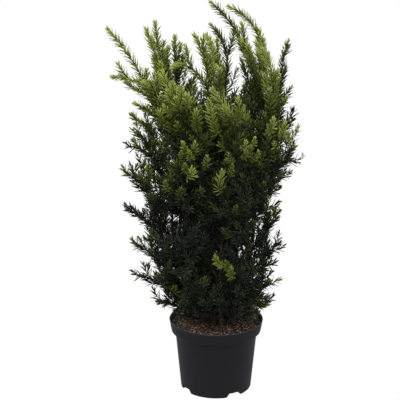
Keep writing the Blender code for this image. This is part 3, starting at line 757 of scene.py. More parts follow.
def make_pot():
    profile = rounded(pot_profile(), POT_ROUNDING, POT_ROUND_STEPS)
    pot = turned("pot_shell", profile, grained_material("pot_black"))
    turns = [FIRST_NOTCH + number * 2 * math.pi / NOTCH_COUNT for number in range(NOTCH_COUNT)]
    cutters = [notch_cutter(turn) for turn in turns]
    for cutter in cutters:
        cut = pot.modifiers.new("notch", "BOOLEAN")
        cut.operation = "DIFFERENCE"
        cut.solver = "EXACT"
        cut.object = cutter
    bpy.context.view_layer.update()
    graph = bpy.context.evaluated_depsgraph_get()
    carved = bpy.data.meshes.new_from_object(pot.evaluated_get(graph))
    pot.modifiers.clear()
    pot.data = carved
    for cutter in cutters:
        bpy.data.objects.remove(cutter, do_unlink=True)
    dress(pot, ("pot",))


def soil_height(x, y):
    """The soil's surface: flat in the middle, lower at the wall, with small lumps."""
    radius = math.hypot(x, y)
    edge = max(0.0, (radius - SOIL_FLAT_RADIUS) / (RIM_RADIUS - SOIL_FLAT_RADIUS))
    lumps = 0.0
    for fineness, weight, shift in SOIL_LUMPS:
        lumps += weight * noise.noise(Vector((x * fineness, y * fineness, shift)))
    return SOIL_TOP - SOIL_EDGE_DROP * edge + SOIL_RELIEF * lumps


def make_soil():
    under, *wall, edge = soil_profile()[:5]
    angles = np.arange(SOIL_SIDES) * 2 * math.pi / SOIL_SIDES
    rings = []
    for radius, height in wall:
        rings.append([(radius * math.cos(a), radius * math.sin(a), height) for a in angles])
    for number in range(SOIL_RINGS):
        radius = edge[0] * (1 - number / SOIL_RINGS)
        places = [(radius * math.cos(a), radius * math.sin(a)) for a in angles]
        rings.append([(x, y, soil_height(x, y)) for x, y in places])
    foot, top = (0.0, 0.0, under[1]), (0.0, 0.0, soil_height(0.0, 0.0))
    vertices, faces = closed_rings(np.array(rings), foot, top)
    bed = shaped("soil_bed", vertices, faces, grained_material("soil_dark"), smooth=True)
    dress(bed, ("soil",))


def chip(block, scale, rng):
    """The corners of one chip that lies somewhere on the soil."""
    length = rng.uniform(*CHIP_LENGTH) * scale
    size = np.array((length, length * rng.uniform(*CHIP_WIDTHS), length * rng.uniform(*CHIP_DEPTHS)))
    corners = block * size * rng.uniform(*CHIP_CORNERS, block.shape)
    yaw, tilt = rng.uniform(0, 2 * math.pi), rng.normal(0.0, CHIP_TILT)
    turn = np.array(((math.cos(yaw), -math.sin(yaw), 0), (math.sin(yaw), math.cos(yaw), 0), (0, 0, 1)))
    lean = np.array(((math.cos(tilt), 0, math.sin(tilt)), (0, 1, 0), (-math.sin(tilt), 0, math.cos(tilt))))
    radius = CHIP_EDGE_RADIUS * math.sqrt(rng.uniform(0, 1))
    around = rng.uniform(0, 2 * math.pi)
    x, y = radius * math.cos(around), radius * math.sin(around)
    middle = (x, y, soil_height(x, y) + size[2] * rng.uniform(0.0, CHIP_LIFT))
    return corners @ (turn @ lean).T + middle


def make_chips(rng):
    """Bark and peat chips that lie on the soil, each a flat irregular block."""
    block = np.array([(x, y, z) for x in (-0.5, 0.5) for y in (-0.5, 0.5) for z in (-0.5, 0.5)])
    sides = [(0, 1, 3, 2), (4, 6, 7, 5), (0, 4, 5, 1), (2, 3, 7, 6), (0, 2, 6, 4), (1, 5, 7, 3)]
    faces = [half for a, b, c, d in sides for half in ((a, b, c), (a, c, d))]
    for shade, (share, scale, colour) in CHIP_SHADES.items():
        gathered = Gathered()
        for _ in range(round(CHIP_COUNT * share)):
            gathered.add(chip(block, scale, rng), faces)
        piece = gathered.piece("soil_chips_" + shade, plain_material("chips_" + shade, colour, *CHIP_FINISH))
        dress(piece)


# Curves


def heading(degrees):
    """Direction in the front view, from level left and turned upwards."""
    angle = math.radians(degrees)
    return np.array((-math.cos(angle), 0.0, math.sin(angle)))


def runs(points):
    """How far along a path each of its points lies."""
    lengths = np.linalg.norm(np.diff(points, axis=0), axis=1)
    return np.concatenate(([0.0], np.cumsum(lengths)))


def resampled(rows, along, places):
    """Rows of three values, known at some places along a path, worked out at others."""
    return np.stack([np.interp(places, along, rows[:, k]) for k in range(3)], axis=1)


def evenly(points, step):
    """The same path with its points spaced evenly, about a step apart."""
    along = runs(points)
    count = max(2, round(along[-1] / step) + 1)
    return resampled(points, along, np.linspace(0.0, along[-1], count))


def arc(start, leave, end, arrive, step):
    """A smooth path from start, leaving along one direction and arriving along another."""
    start, end = np.asarray(start, float), np.asarray(end, float)
    arm = ARC_REACH * np.linalg.norm(end - start)
    first, second = start + arm * unit(leave), end - arm * unit(arrive)
    t = np.linspace(0.0, 1.0, ARC_SAMPLES)[:, None]
    path = (1 - t) ** 3 * start + 3 * (1 - t) ** 2 * t * first + 3 * (1 - t) * t**2 * second + t**3 * end
    return evenly(path, step)


def path_length(points):
    return float(np.linalg.norm(np.diff(points, axis=0), axis=1).sum())


def place_on(points, share):
    """Index of the step that holds this share of an even path, and how far into that step it is."""
    spot = share * (len(points) - 1)
    index = min(int(spot), len(points) - 2)
    return index, spot - index


def point_on(points, share):
    index, part = place_on(points, share)
    return points[index] * (1 - part) + points[index + 1] * part


def tangent_on(points, share):
    index, _ = place_on(points, share)
    return unit(points[index + 1] - points[index])


def side_frames(points, corner=None):
    """Tangent and two side directions at each point, carried along the path without twist."""
    tangents = np.gradient(points, axis=0)
    tangents /= np.linalg.norm(tangents, axis=1)[:, None]
    if corner is None:
        corner = UP if abs(tangents[0][2]) < LEVEL_ENOUGH else RIGHT
    sides = []
    side = corner
    for tangent in tangents:
        side = unit(side - tangent * np.dot(side, tangent))
        sides.append(side)
    sides = np.array(sides)
    return tangents, sides, np.cross(tangents, sides)


# Limbs and bark


class Limb:
    """One tapering limb of wood, with flat ends."""

    mass = ""

    def __init__(self, name, points, radii, sides, corner=None):
        self.name = name
        self.points = points
        self.radii = radii
        self.sides = sides
        self.tangents, self.side, self.cross = side_frames(points, corner)

    def surface(self, share, outward):
        """How far the faceted surface lies from the axis, in the direction outward."""
        index, part = place_on(self.points, share)
        radius = self.radii[index] * (1 - part) + self.radii[index + 1] * part
        angle = math.atan2(np.dot(outward, self.cross[index]), np.dot(outward, self.side[index]))
        facet = 2 * math.pi / self.sides
        off_middle = (angle % facet) - facet / 2
        return radius * math.cos(facet / 2) / math.cos(off_middle)

    def branch_start(self, share, direction, radius):
        """Where a branch of this radius starts, just clear of the bark, and the way back inwards."""
        axis, along = point_on(self.points, share), tangent_on(self.points, share)
        outward = unit(direction - along * np.dot(direction, along))
        lift = radius * abs(np.dot(unit(direction), along))
        start = axis + outward * (self.surface(share, outward) + lift + SEAT)
        return start, -outward


def make_stems():
    stems = {}
    foot_height = SOIL_TOP + GAP
    for name, (foot_x, foot_y, top_x, top_y, top_z, foot_radius, top_radius) in STEMS.items():
        foot, top = np.array((foot_x, foot_y, foot_height)), np.array((top_x, top_y, top_z))
        sideways = RIGHT * TRUNK_BOW if name == "trunk" else (top - foot) * LEVEL * STEM_SPREAD
        leave = UP * (top_z - foot_height) + sideways
        arrive = UP - sideways * STEM_RECOVERY
        path = arc(foot, leave, top, arrive, STEM_STEP)
        low = foot + UP * FLARE_HEIGHT + (path[1] - foot) * LEVEL * FLARE_HEIGHT / STEM_STEP
        path = np.insert(path, 1, low, axis=0)
        share = (path[:, 2] - foot_height) / (top_z - foot_height)
        radii = foot_radius + (top_radius - foot_radius) * share
        radii = radii * (1 + FLARE * np.exp(-(path[:, 2] - foot_height) / FLARE_HEIGHT))
        limb = Limb(name, path, radii, STEM_SIDES, RIGHT)
        limb.tangents[0] = UP
        limb.side[0] = unit(limb.side[0] * LEVEL)
        limb.cross[0] = np.cross(UP, limb.side[0])
        stems[name] = limb
    return stems


def make_boughs(stems):
    """One bough for each leading shoot that isn't carried by a stem's own tip."""
    boughs = {}
    for name, (carrier, share, tip, _) in LEADERS.items():
        if share == 1.0:
            continue
        stem = stems[carrier]
        base, along = point_on(stem.points, share), tangent_on(stem.points, share)
        across = np.asarray(tip) - base
        outward = unit(across - along * np.dot(across, along))
        leave = along * math.cos(BOUGH_ANGLE) + outward * math.sin(BOUGH_ANGLE)
        start, corner = stem.branch_start(share, leave, BOUGH_RADIUS)
        arrive = unit(BOUGH_END_SPREAD * unit(across) + UP)
        end = start + BOUGH_LENGTH * unit(leave + arrive)
        path = arc(start, leave, end, arrive, BOUGH_STEP)
        radii = np.linspace(BOUGH_RADIUS, BOUGH_TIP_RADIUS, len(path))
        boughs[name] = Limb("bough_" + name, path, radii, BOUGH_SIDES, corner)
    return boughs


def tube(points, radii, sides):
    """Points and triangles of a closed round tube with flat ends."""
    _, side, cross = side_frames(points)
    angles = np.arange(sides) * 2 * math.pi / sides
    around = side[:, None] * np.cos(angles)[:, None] + cross[:, None] * np.sin(angles)[:, None]
    rings = points[:, None] + around * np.asarray(radii)[:, None, None]
    return closed_rings(rings, points[0], points[-1])


def relief(x, y, place):
    """How much thicker a limb is at a place along it, in the direction x, y round it."""
    share = 1.0
    for depth, round_fineness, long_fineness, shift in BARK_RELIEF:
        spot = Vector((x * round_fineness, y * round_fineness, place * long_fineness + shift))
        share += depth * noise.noise(spot)
    return share


def make_bark(limb, material):
    """A limb with ridged and flaking bark, narrowing at its end to the shoot that goes on from it."""
    along = runs(limb.points)
    places = np.linspace(0.0, along[-1], round(along[-1] / BARK_STEP) + 1)
    points = resampled(limb.points, along, places)
    for _ in range(BARK_SMOOTHING):
        points[1:-1] = (points[:-2] + 2 * points[1:-1] + points[2:]) / 4
    narrowing = np.clip((along[-1] - places) / LIMB_END, 0.0, 1.0)
    radii = LEADER_RADIUS + (np.interp(places, along, limb.radii) - LEADER_RADIUS) * narrowing
    _, side, cross = side_frames(points, limb.side[0])
    rings = np.zeros((len(points), BARK_SIDES, 3))
    for ring, place in enumerate(places):
        for number in range(BARK_SIDES):
            angle = 2 * math.pi * number / BARK_SIDES
            x, y = math.cos(angle), math.sin(angle)
            radius = radii[ring] * relief(x, y, place)
            rings[ring, number] = points[ring] + radius * (side[ring] * x + cross[ring] * y)
    vertices, faces = closed_rings(rings, points[0], points[-1])
    piece = shaped("bark_" + limb.name, vertices, faces, material, smooth=True)
    dress(piece, (limb.name,))


# Room: what each new shoot must stay clear of


def closest(start, end, starts, ends):
    """Shortest distances from one segment to each of many."""
    along, others, between = end - start, ends - starts, start - starts
    own = max(float(np.dot(along, along)), 1e-12)
    lengths = np.maximum(np.einsum("ij,ij->i", others, others), 1e-12)
    cross = others @ along
    lead = between @ along
    lag = np.einsum("ij,ij->i", others, between)
    scale = np.maximum(own * lengths - cross**2, 1e-12)
    mine = np.clip((cross * lag - lead * lengths) / scale, 0.0, 1.0)
    theirs = np.clip((cross * mine + lag) / lengths, 0.0, 1.0)
    mine = np.clip((cross * theirs - lead) / own, 0.0, 1.0)
    apart = between + mine[:, None] * along - theirs[:, None] * others
    return np.linalg.norm(apart, axis=1)


class Room:
    """Every limb and shoot so far, as straight round rods with an owner number each."""

    def __init__(self):
        self.starts = np.zeros((MOST_RODS, 3))
        self.ends = np.zeros((MOST_RODS, 3))
        self.radii = np.zeros(MOST_RODS)
        self.owners = np.full(MOST_RODS, -1)
        self.count = 0

    def add(self, start, end, radius, owner):
        at = self.count
        self.starts[at], self.ends[at], self.radii[at], self.owners[at] = start, end, radius, owner
        self.count += 1

    def add_path(self, points, radii, owner):
        for index in range(len(points) - 1):
            self.add(points[index], points[index + 1], max(radii[index], radii[index + 1]), owner)

    def clearance(self, start, end, radius, ignore=None):
        """Free distance round a rod, leaving out what one owner holds."""
        used = slice(0, self.count)
        gaps = closest(start, end, self.starts[used], self.ends[used]) - self.radii[used] - radius
        return float(gaps[self.owners[used] != ignore].min())


# Shoots


class Shoot:
    """A shoot's path and thickness, with the side directions that twigs and needles stand in."""

    def __init__(self, mass, points, radii, owner=None, corner=None, kind="main", light=0.0, bare=0.0):
        self.mass = mass
        self.points = points
        self.radii = radii
        self.owner = owner
        self.tangents, self.side, self.cross = side_frames(points, corner)
        self.kind = kind
        self.light = light
        self.bare = bare


def across_at(outline, height):
    """Middle and half width of an outline, at one height or at many."""
    table = np.array(outline)
    left, right = (np.interp(height, table[:, 0], table[:, k]) for k in (1, 2))
    return (left + right) / 2, (right - left) / 2


def share_of(outline, depth_share, points):
    """0 at the middle of an outline and 1 at its edge, for each point."""
    middle, half = across_at(outline, points[:, 2])
    return np.hypot((points[:, 0] - middle) / half, points[:, 1] / (half * depth_share))


def in_crown(point):
    """Inside the crown's outline, which is an uneven oval at each height."""
    middle, half = across_at(OUTLINE, point[2])
    across = (point[0] - middle) / half
    deep = point[1] / (half * CROWN_DEPTH_SHARE)
    return across**2 + deep**2 < 1.0 and OUTLINE[0][0] < point[2] < OUTLINE[-1][0]


def tapered(points, root_radius):
    return np.linspace(root_radius, TIP_RADIUS, len(points))


def carriers(limbs, tip, climb):
    """Each limb and share of its length from where a spray could reach this tip, the best first.

    Near limbs come first, and places from where the spray climbs at about the wanted slope.
    """
    found = []
    for limb in limbs:
        for share in np.linspace(FIRST_SHARE, LAST_SHARE, SHARES_TRIED):
            across = tip - point_on(limb.points, share)
            slope = math.atan2(across[2], math.hypot(across[0], across[1]))
            cost = np.linalg.norm(across) + CLIMB_WEIGHT * abs(slope - climb)
            found.append((float(cost), limb.name, float(share)))
    return sorted(found)


def row_tips():
    """Tips of the front and back sprays, two at each height, turned left and right by turns."""
    tips = {}
    for number, height in enumerate(ROW_HEIGHTS):
        middle, half = across_at(OUTLINE, height)
        for face, name in ((-1, "front"), (1, "back")):
            turn = ROW_TURN * (-1) ** (number + (face > 0))
            x = middle + half * math.sin(turn)
            y = face * half * CROWN_DEPTH_SHARE * math.cos(turn)
            tips[f"{name}_{number + 1}"] = (x, y, height)
    return tips


class Crown:
    """All shoots, by mass, grown so that no two masses touch."""

    def __init__(self, limbs, boughs):
        self.room = Room()
        self.limbs = limbs
        self.boughs = boughs
        self.shoots = []
        self.masses = {}
        for number, limb in enumerate([*limbs.values(), *boughs.values()]):
            self.room.add_path(limb.points, limb.radii, -2 - number)

    def add(self, mass, points, radii, corner=None):
        shoot = Shoot(mass, points, radii, len(self.shoots), corner)
        self.shoots.append(shoot)
        self.masses.setdefault(mass, []).append(shoot)
        self.room.add_path(points, radii, shoot.owner)
        return shoot

    def lead(self, name, carrier, share, tip, tip_heading):
        """The main shoot of a leading mass, from the end of its stem or bough."""
        limb = self.limbs[carrier] if share == 1.0 else self.boughs[name]
        leave = limb.tangents[-1]
        start = limb.points[-1] + leave * GAP
        points = arc(start, leave, tip, heading(tip_heading), SHOOT_STEP)
        self.add(name, points, tapered(points, LEADER_RADIUS), corner=limb.side[-1])

    def spread(self, name, tip, arrive, climb):
        """The main shoot of a spreading mass, from the side of the limb that suits it best."""
        tip = np.array(tip)
        for _, carrier, share in carriers(self.limbs.values(), tip, climb):
            limb = self.limbs[carrier]
            across = tip - point_on(limb.points, share)
            leave = unit(across * LEVEL) * math.cos(climb) + UP * math.sin(climb)
            start, corner = limb.branch_start(share, leave, SPRAY_RADIUS)
            points = arc(start, leave, tip, arrive, SHOOT_STEP)
            steps = zip(points[1:], points[2:])
            if all(self.room.clearance(a, b, SPRAY_RADIUS) > PASSING for a, b in steps):
                break
        self.add(name, points, tapered(points, SPRAY_RADIUS), corner=corner)

    def fork(self, mass, share, tip, tip_heading):
        """One more long shoot on a mass's main shoot."""
        main = self.masses[mass][0]
        start, along = point_on(main.points, share), tangent_on(main.points, share)
        leave = along + FORK_TURN * unit(np.array(tip) - start)
        points = arc(start, leave, tip, heading(tip_heading), SHOOT_STEP)
        radius = SIDE_SHARE * main.radii[place_on(main.points, share)[0]]
        self.add(mass, points, tapered(points, radius))

    def keeps_space(self, mass, point):
        """True where the mass's own main shoot is nearer than any other mass's, inside the crown."""
        if not in_crown(point):
            return False
        nearest = {}
        for name, shoots in self.masses.items():
            nearest[name] = np.linalg.norm(shoots[0].points - point, axis=1).min()
        return nearest[mass] < min(nearest.values()) + SPACE_SLACK

    def side_path(self, main, share, around, length):
        """A side shoot's path, bending upwards, cut where it would leave its space or touch anything."""
        index, _ = place_on(main.points, share)
        start, along = point_on(main.points, share), tangent_on(main.points, share)
        outward = main.side[index] * math.cos(around) + main.cross[index] * math.sin(around)
        leave = along * math.cos(SIDE_ANGLE) + outward * math.sin(SIDE_ANGLE)
        end = start + length * unit(leave + RISE * UP)
        points = arc(start, leave, end, leave + TIP_RISE * UP, SHOOT_STEP)
        kept = [points[0]]
        room = ROOM_WORTH
        for before, after in zip(points, points[1:]):
            free = self.room.clearance(before, after, PATH_RADIUS, main.owner)
            if free < CLEAR or not self.keeps_space(main.mass, after):
                break
            kept.append(after)
            room = min(room, free)
        return np.array(kept), room

    def side_shoots(self, main, rng):
        """Side shoots along a shoot, each in the most open of a few directions."""
        length = path_length(main.points)
        spacing = LEADER_SPACING if main.mass in LEADERS else SPRAY_SPACING
        count = max(1, round(length / spacing))
        turn = rng.uniform(0, 2 * math.pi)
        for number in range(count):
            share = SIDE_FIRST + SIDE_RUN * (number + rng.uniform(*SIDE_SCATTER)) / count
            if point_on(main.points, share)[2] > SIDE_FREE_TOP:
                break
            wanted = SIDE_LONGEST * rng.uniform(*SIDE_LENGTHS) * (1.0 - SIDE_SHORTENING * share)
            best = None
            for attempt in range(TRIES):
                path, room = self.side_path(main, share, turn + attempt * 2 * math.pi / TRIES, wanted)
                score = (len(path) - 1) * SHOOT_STEP + room
                if best is None or score > best[0]:
                    best = (score, path)
            turn += GOLDEN_TURN
            path = best[1]
            if (len(path) - 1) * SHOOT_STEP < SIDE_SHORTEST:
                continue
            radius = SIDE_SHARE * main.radii[place_on(main.points, share)[0]]
            self.add(main.mass, path, tapered(path, radius))

    def grow(self):
        for name, (carrier, share, tip, tip_heading) in LEADERS.items():
            self.lead(name, carrier, share, tip, tip_heading)
        for name, (tip, tip_heading) in SPREADING.items():
            climb = LOW_CLIMB if tip[2] < LOW_TIPS else SIDE_CLIMB
            self.spread(name, tip, heading(tip_heading), math.radians(climb))
        for name, tip in row_tips().items():
            outward = unit(np.array((tip[0], tip[1], 0.0)))
            arrive = outward * math.cos(math.radians(ROW_CLIMB)) + UP * math.sin(math.radians(ROW_CLIMB))
            self.spread(name, tip, arrive, math.radians(ROW_CLIMB))
        mains = list(self.shoots)
        for fork in FORKS:
            self.fork(*fork)
        rng = np.random.default_rng(SEED)
        for shoot in mains:
            self.side_shoots(shoot, rng)


# The photo's view of the crown


def sight(x, height, depth):
    """The point at this depth on the camera's line through (x, 0, height)."""
    share = (depth - CAMERA[1]) / -CAMERA[1]
    return CAMERA + (np.array((x, 0.0, height)) - CAMERA) * share


def seen_at(points):
    """Where the camera sees each point on the plane Y=0."""
    share = (-CAMERA[1] / (points[:, 1] - CAMERA[1]))[:, None]
    return CAMERA + (points - CAMERA) * share


def in_gap(points):
    """True for each point that the camera sees inside one of the crown's open gaps."""
    seen = seen_at(points)
    inside = np.zeros(len(points), bool)
    for x, height, half_width, half_height in SKY_GAPS:
        inside |= ((seen[:, 0] - x) / half_width) ** 2 + ((seen[:, 2] - height) / half_height) ** 2 < 1.0
    return inside


def crown_front(x, height):
    """Depth at which the camera's line through (x, 0, height) enters the crown."""
    for depth in np.arange(*FRONT_DEPTHS):
        if in_crown(sight(x, height, depth)):
            return depth
    return 0.0


# Finer twigs


class Thicket:
    """Twigs on every shoot, each sent where the crown is most open."""

    def __init__(self, shoots, limbs, rng):
        self.rng = rng
        self.limbs = limbs
        self.carriers = shoots
        self.shoots = list(shoots)
        self.crowds = {}
        for shoot in shoots:
            self.fill(shoot.points)

    def cell(self, point):
        return tuple(int(round(value / TWIG_CELL)) for value in point)

    def fill(self, points):
        for point in points:
            i, j, k = self.cell(point)
            for right, back, up in CELL_SIDES:
                key = (i + right, j + back, k + up)
                self.crowds[key] = self.crowds.get(key, 0) + 1

    def crowd(self, points):
        return sum(self.crowds.get(self.cell(point), 0) for point in points) / len(points)

    def add(self, points, mass, radius, kind="twig", light=0.0, bare=0.0):
        radii = np.linspace(radius, TWIG_TIP_RADIUS, len(points))
        self.shoots.append(Shoot(mass, points, radii, kind=kind, light=light, bare=bare))
        self.fill(points[1:])

    def twig_path(self, parent, share, around, length, angle):
        """A twig's path, bending upwards, cut where it would leave the body or enter an open gap."""
        index, _ = place_on(parent.points, share)
        start, along = point_on(parent.points, share), tangent_on(parent.points, share)
        outward = parent.side[index] * math.cos(around) + parent.cross[index] * math.sin(around)
        leave = along * math.cos(angle) + outward * math.sin(angle)
        end = start + length * unit(leave + TWIG_RISE * UP)
        points = arc(start, leave, end, leave + TWIG_END_RISE * UP, TWIG_STEP)
        cut = in_gap(points) | (share_of(BODY_FILL, BODY_DEPTH_SHARE, points) > 1.0)
        own = 1 + round((OWN_END_REACH if share > OWN_END else OWN_REACH) / TWIG_STEP)
        cut[:own] = in_gap(points[:own])
        cut[0] = False
        return points[: int(cut.argmax())] if cut.any() else points

    def branch(self, parent, spacing, shortest, longest, angle):
        """One level of twigs along a parent."""
        count = int(path_length(parent.points) * (1 - TWIG_FIRST) / spacing)
        turn = self.rng.uniform(0, 2 * math.pi)
        for number in range(count):
            share = TWIG_FIRST + (1 - TWIG_FIRST) * (number + self.rng.uniform(*SIDE_SCATTER)) / count
            turn += GOLDEN_TURN
            height = point_on(parent.points, share)[2]
            if height > TWIG_FREE_TOP:
                break
            brush = height > BRUSH_ABOVE
            sparse = BRUSH_SKIPPED * brush + SPARSE_LOW * (height < SPARSE_BELOW)
            if self.rng.uniform() < sparse or (brush and longest < BRUSH_LONGEST):
                continue
            wanted = self.rng.uniform(shortest, longest) * (1.0 - TWIG_SHORTENING * share)
            best = None
            for attempt in range(TWIG_TRIES):
                around = turn + attempt * 2 * math.pi / TWIG_TRIES
                path = self.twig_path(parent, share, around, wanted, BRUSH_ANGLE if brush else angle)
                if len(path) < 3:
                    continue
                cost = self.crowd(path[1:]) - TWIG_LENGTH_WORTH * len(path)
                if best is None or cost < best[0]:
                    best = (cost, path)
            if best is None or self.crowd(best[1][1:]) > TWIG_MOST_CROWD:
                continue
            radius = min(TWIG_ROOT_RADIUS, SIDE_SHARE * parent.radii[place_on(parent.points, share)[0]])
            self.add(best[1], parent.mass, radius, "main" if brush else "twig")

    def sprig(self, tip_x, tip_height, foot_x, foot_height, light, depth):
        """A shoot that shows at the crown's front, carried from the nearest shoot behind it."""
        tip = sight(tip_x, tip_height, depth)
        foot = sight(foot_x, foot_height, depth + SPRIG_FOOT_DEPTH)
        distances = [np.linalg.norm(shoot.points - foot, axis=1) for shoot in self.carriers]
        nearest = min(range(len(distances)), key=lambda number: distances[number].min())
        carrier = self.carriers[nearest]
        start = carrier.points[distances[nearest].argmin()]
        points = arc(start, foot - start + SPRIG_LIFT * UP, tip, tip - foot + SPRIG_TIP_RISE * UP, TWIG_STEP)
        shown = np.linalg.norm(tip - foot)
        kind = "main" if shown > LONG_SPRIG else "sprig"
        bare = max(0.0, path_length(points) - max(SPRIG_NEEDLED, shown))
        self.add(points, carrier.mass, TWIG_ROOT_RADIUS, kind, light, bare)

    def grow(self):
        for spot in SPRIGS:
            self.sprig(*spot, crown_front(*spot[:2]))
        for spot in LOW_SPRIGS:
            self.sprig(*spot)
        first = len(self.shoots)
        for limb in self.limbs:
            self.branch(limb, LIMB_SPACING, *LIMB_TWIGS, LIMB_TWIG_ANGLE)
        parents = self.carriers + self.shoots[first:]
        for level in TWIG_LEVELS:
            first = len(self.shoots)
            for parent in parents:
                if path_length(parent.points) > PARENT_WORTH:
                    self.branch(parent, *level)
            parents = self.shoots[first:]


# Needles


def row_units(rows):
    return rows / np.maximum(np.linalg.norm(rows, axis=1), 1e-9)[:, None]


def lightness(shoot, root, left, rng):
    """How light each needle of a shoot is, by where its root is and how far the shoot's tip. Light tips are
    new growth; darker low and inner needles are partly painted shade.
    """
    # Painted light and shade: needles lighter the higher they are, darker low down where the crown above
    # shades them
    high_up = np.clip((root[:, 2] - DARK_BELOW) / (LIGHT_FROM - DARK_BELOW), 0.0, 1.0)
    # Partly painted shade, partly older needles' own darker colour: needles deep inside the crown darker than
    # at its outline
    outer = share_of(OUTLINE, CROWN_DEPTH_SHARE, root)
    outer = np.clip((outer - OUTER_FROM) / (1 - OUTER_FROM), 0.0, 1.0)
    glow = np.clip(1.0 - left / TIP_GLOW, 0.0, 1.0)
    light = BASE_LIGHT + HEIGHT_LIGHT * high_up
    light = light + OUTER_LIGHT * outer * (OUTER_LOW_SHARE + (1 - OUTER_LOW_SHARE) * high_up)
    # Painted shade: the light tips of new growth are toned down low in the middle of the crown, less towards
    # its sides
    middle, half = across_at(OUTLINE, root[:, 2])
    aside = np.abs(root[:, 0] - middle) / half
    aside = np.clip((aside - ASIDE_FROM) / (1 - ASIDE_FROM), 0.0, 1.0)
    shown = LOW_TIP_SHARE + (1 - LOW_TIP_SHARE) * np.maximum(high_up, aside)
    light = light + TIP_LIGHT * glow * shown + shoot.light
    if shoot.kind == "main":
        light = light + MAIN_LIGHT * (root[:, 2] > MAIN_LIGHT_FROM) + MAIN_TIP_LIGHT * glow * shown
    light = light + MASS_LIGHT.get(shoot.mass, 0.0)
    seen = seen_at(root)
    for x, height, half_width, half_height, lighter in LIGHT_PLACES:
        inside = ((seen[:, 0] - x) / half_width) ** 2 + ((seen[:, 2] - height) / half_height) ** 2 < 1.0
        light = light + lighter * (inside & (root[:, 1] < LIGHT_PLACE_DEPTH))
    chance = SHOOT_CHANCE if shoot.kind == "twig" else MAIN_CHANCE
    return light + rng.normal(0.0, chance) + rng.normal(0.0, NEEDLE_CHANCE, len(root))


def needle_rows(shoot, rng):
    """Root, direction, face, length, width and lightness of each needle of a shoot.

    The needles stand on a spiral, which on a level shoot flattens into two ranks.
    """
    along = runs(shoot.points)
    pitch, whole, width, widest_lean = NEEDLE_KINDS[shoot.kind]
    places = np.arange(shoot.bare + NEEDLE_FIRST, along[-1], pitch)
    count = len(places)
    if count == 0:
        return None
    root = resampled(shoot.points, along, places)
    tangent = row_units(resampled(shoot.tangents, along, places))
    left = along[-1] - places
    tuft = np.clip(left / TUFT, 0.0, 1.0)
    lean = NEEDLE_TIP_LEAN + (widest_lean - NEEDLE_TIP_LEAN) * tuft
    lean = lean + rng.normal(0.0, NEEDLE_SCATTER, count)
    length = whole * (NEEDLE_TIP_SHARE + (1 - NEEDLE_TIP_SHARE) * tuft) * rng.uniform(*NEEDLE_LENGTHS, count)
    level = np.cross(UP, tangent)
    upright = np.linalg.norm(level, axis=1)[:, None] < UPRIGHT_ENOUGH
    level = row_units(np.where(upright, RIGHT, level))
    high = np.cross(tangent, level)
    angle = rng.uniform(0, 2 * math.pi) + np.arange(count) * GOLDEN_TURN
    angle = angle + rng.normal(0.0, NEEDLE_TURN_SCATTER, count)
    lying = (1.0 - np.abs(tangent[:, 2]))[:, None]
    outward = level * np.cos(angle)[:, None] + high * (np.sin(angle)[:, None] * (1 - FLATTEN * lying))
    outward = row_units(outward - DROOP * lying * UP)
    direction = row_units(tangent * np.cos(lean)[:, None] + outward * np.sin(lean)[:, None])
    face = row_units(tangent - direction * (tangent * direction).sum(1)[:, None])
    root = root + outward * np.interp(places, along, shoot.radii)[:, None] / 2
    return root, direction, face, length, np.full(count, width), lightness(shoot, root, left, rng)


def needle_meshes(root, direction, face, length, width):
    """Closed slim blades, each with a foot, two rings of three corners and a tip, as points and triangles."""
    count = len(root)
    across = np.cross(direction, face)
    vertices = np.zeros((count, 8, 3))
    vertices[:, 0] = root
    for ring, share in enumerate(NEEDLE_RINGS):
        bend = face * (length * NEEDLE_BEND * share**2)[:, None]
        middle = root + direction * (length * share)[:, None] + bend
        vertices[:, 1 + 3 * ring] = middle + face * (NEEDLE_RIDGE * width)[:, None]
        vertices[:, 2 + 3 * ring] = middle + across * (width / 2)[:, None]
        vertices[:, 3 + 3 * ring] = middle - across * (width / 2)[:, None]
    vertices[:, 7] = root + direction * length[:, None] + face * (length * NEEDLE_BEND)[:, None]
    blade = []
    for number in range(3):
        after = (number + 1) % 3
        blade.append((0, 1 + after, 1 + number))
        blade.append((1 + number, 1 + after, 4 + after))
        blade.append((1 + number, 4 + after, 4 + number))
        blade.append((4 + number, 4 + after, 7))
    faces = np.arange(count)[:, None, None] * 8 + np.array(blade)[None]
    return vertices.reshape(-1, 3), faces.reshape(-1, 3)


def make_needles(shoots, nodes_by_slot, rng):
    """Every needle that stays in its place, joined into one piece for each shade."""
    rows = [row for row in (needle_rows(shoot, rng) for shoot in shoots) if row is not None]
    columns = [np.concatenate(column) for column in zip(*rows)]
    root, direction, _, length, _, _ = columns
    tip = root + direction * length[:, None]
    low, high = (np.array(corner) for corner in CAD_BOX[:2])
    kept = ~in_gap(tip) & ~in_gap((root + tip) / 2)
    heart = (share_of(OUTLINE, CROWN_DEPTH_SHARE, root) < BARE_HEART) & (root[:, 2] < SPARSE_BELOW)
    kept &= ~(heart & (rng.uniform(size=len(root)) < BARE_HEART_SHARE))
    kept &= ((tip > low - BOX_MARGIN) & (tip < high + BOX_MARGIN)).all(axis=1)
    kept &= (tip[:, 2] > SOIL_TOP + SOIL_MARGIN) & (root[:, 2] > SOIL_TOP + SOIL_MARGIN)
    *blades, light = (column[kept] for column in columns)
    shade = np.clip(((1.0 - light) * len(NEEDLE_SHADES)).astype(int), 0, len(NEEDLE_SHADES) - 1)
    for number, (name, slot, colour) in enumerate(NEEDLE_SHADES):
        vertices, faces = needle_meshes(*(column[shade == number] for column in blades))
        piece = shaped(name, vertices, faces, plain_material(name, colour, *NEEDLE_FINISH))
        dress(piece, nodes_by_slot[slot])


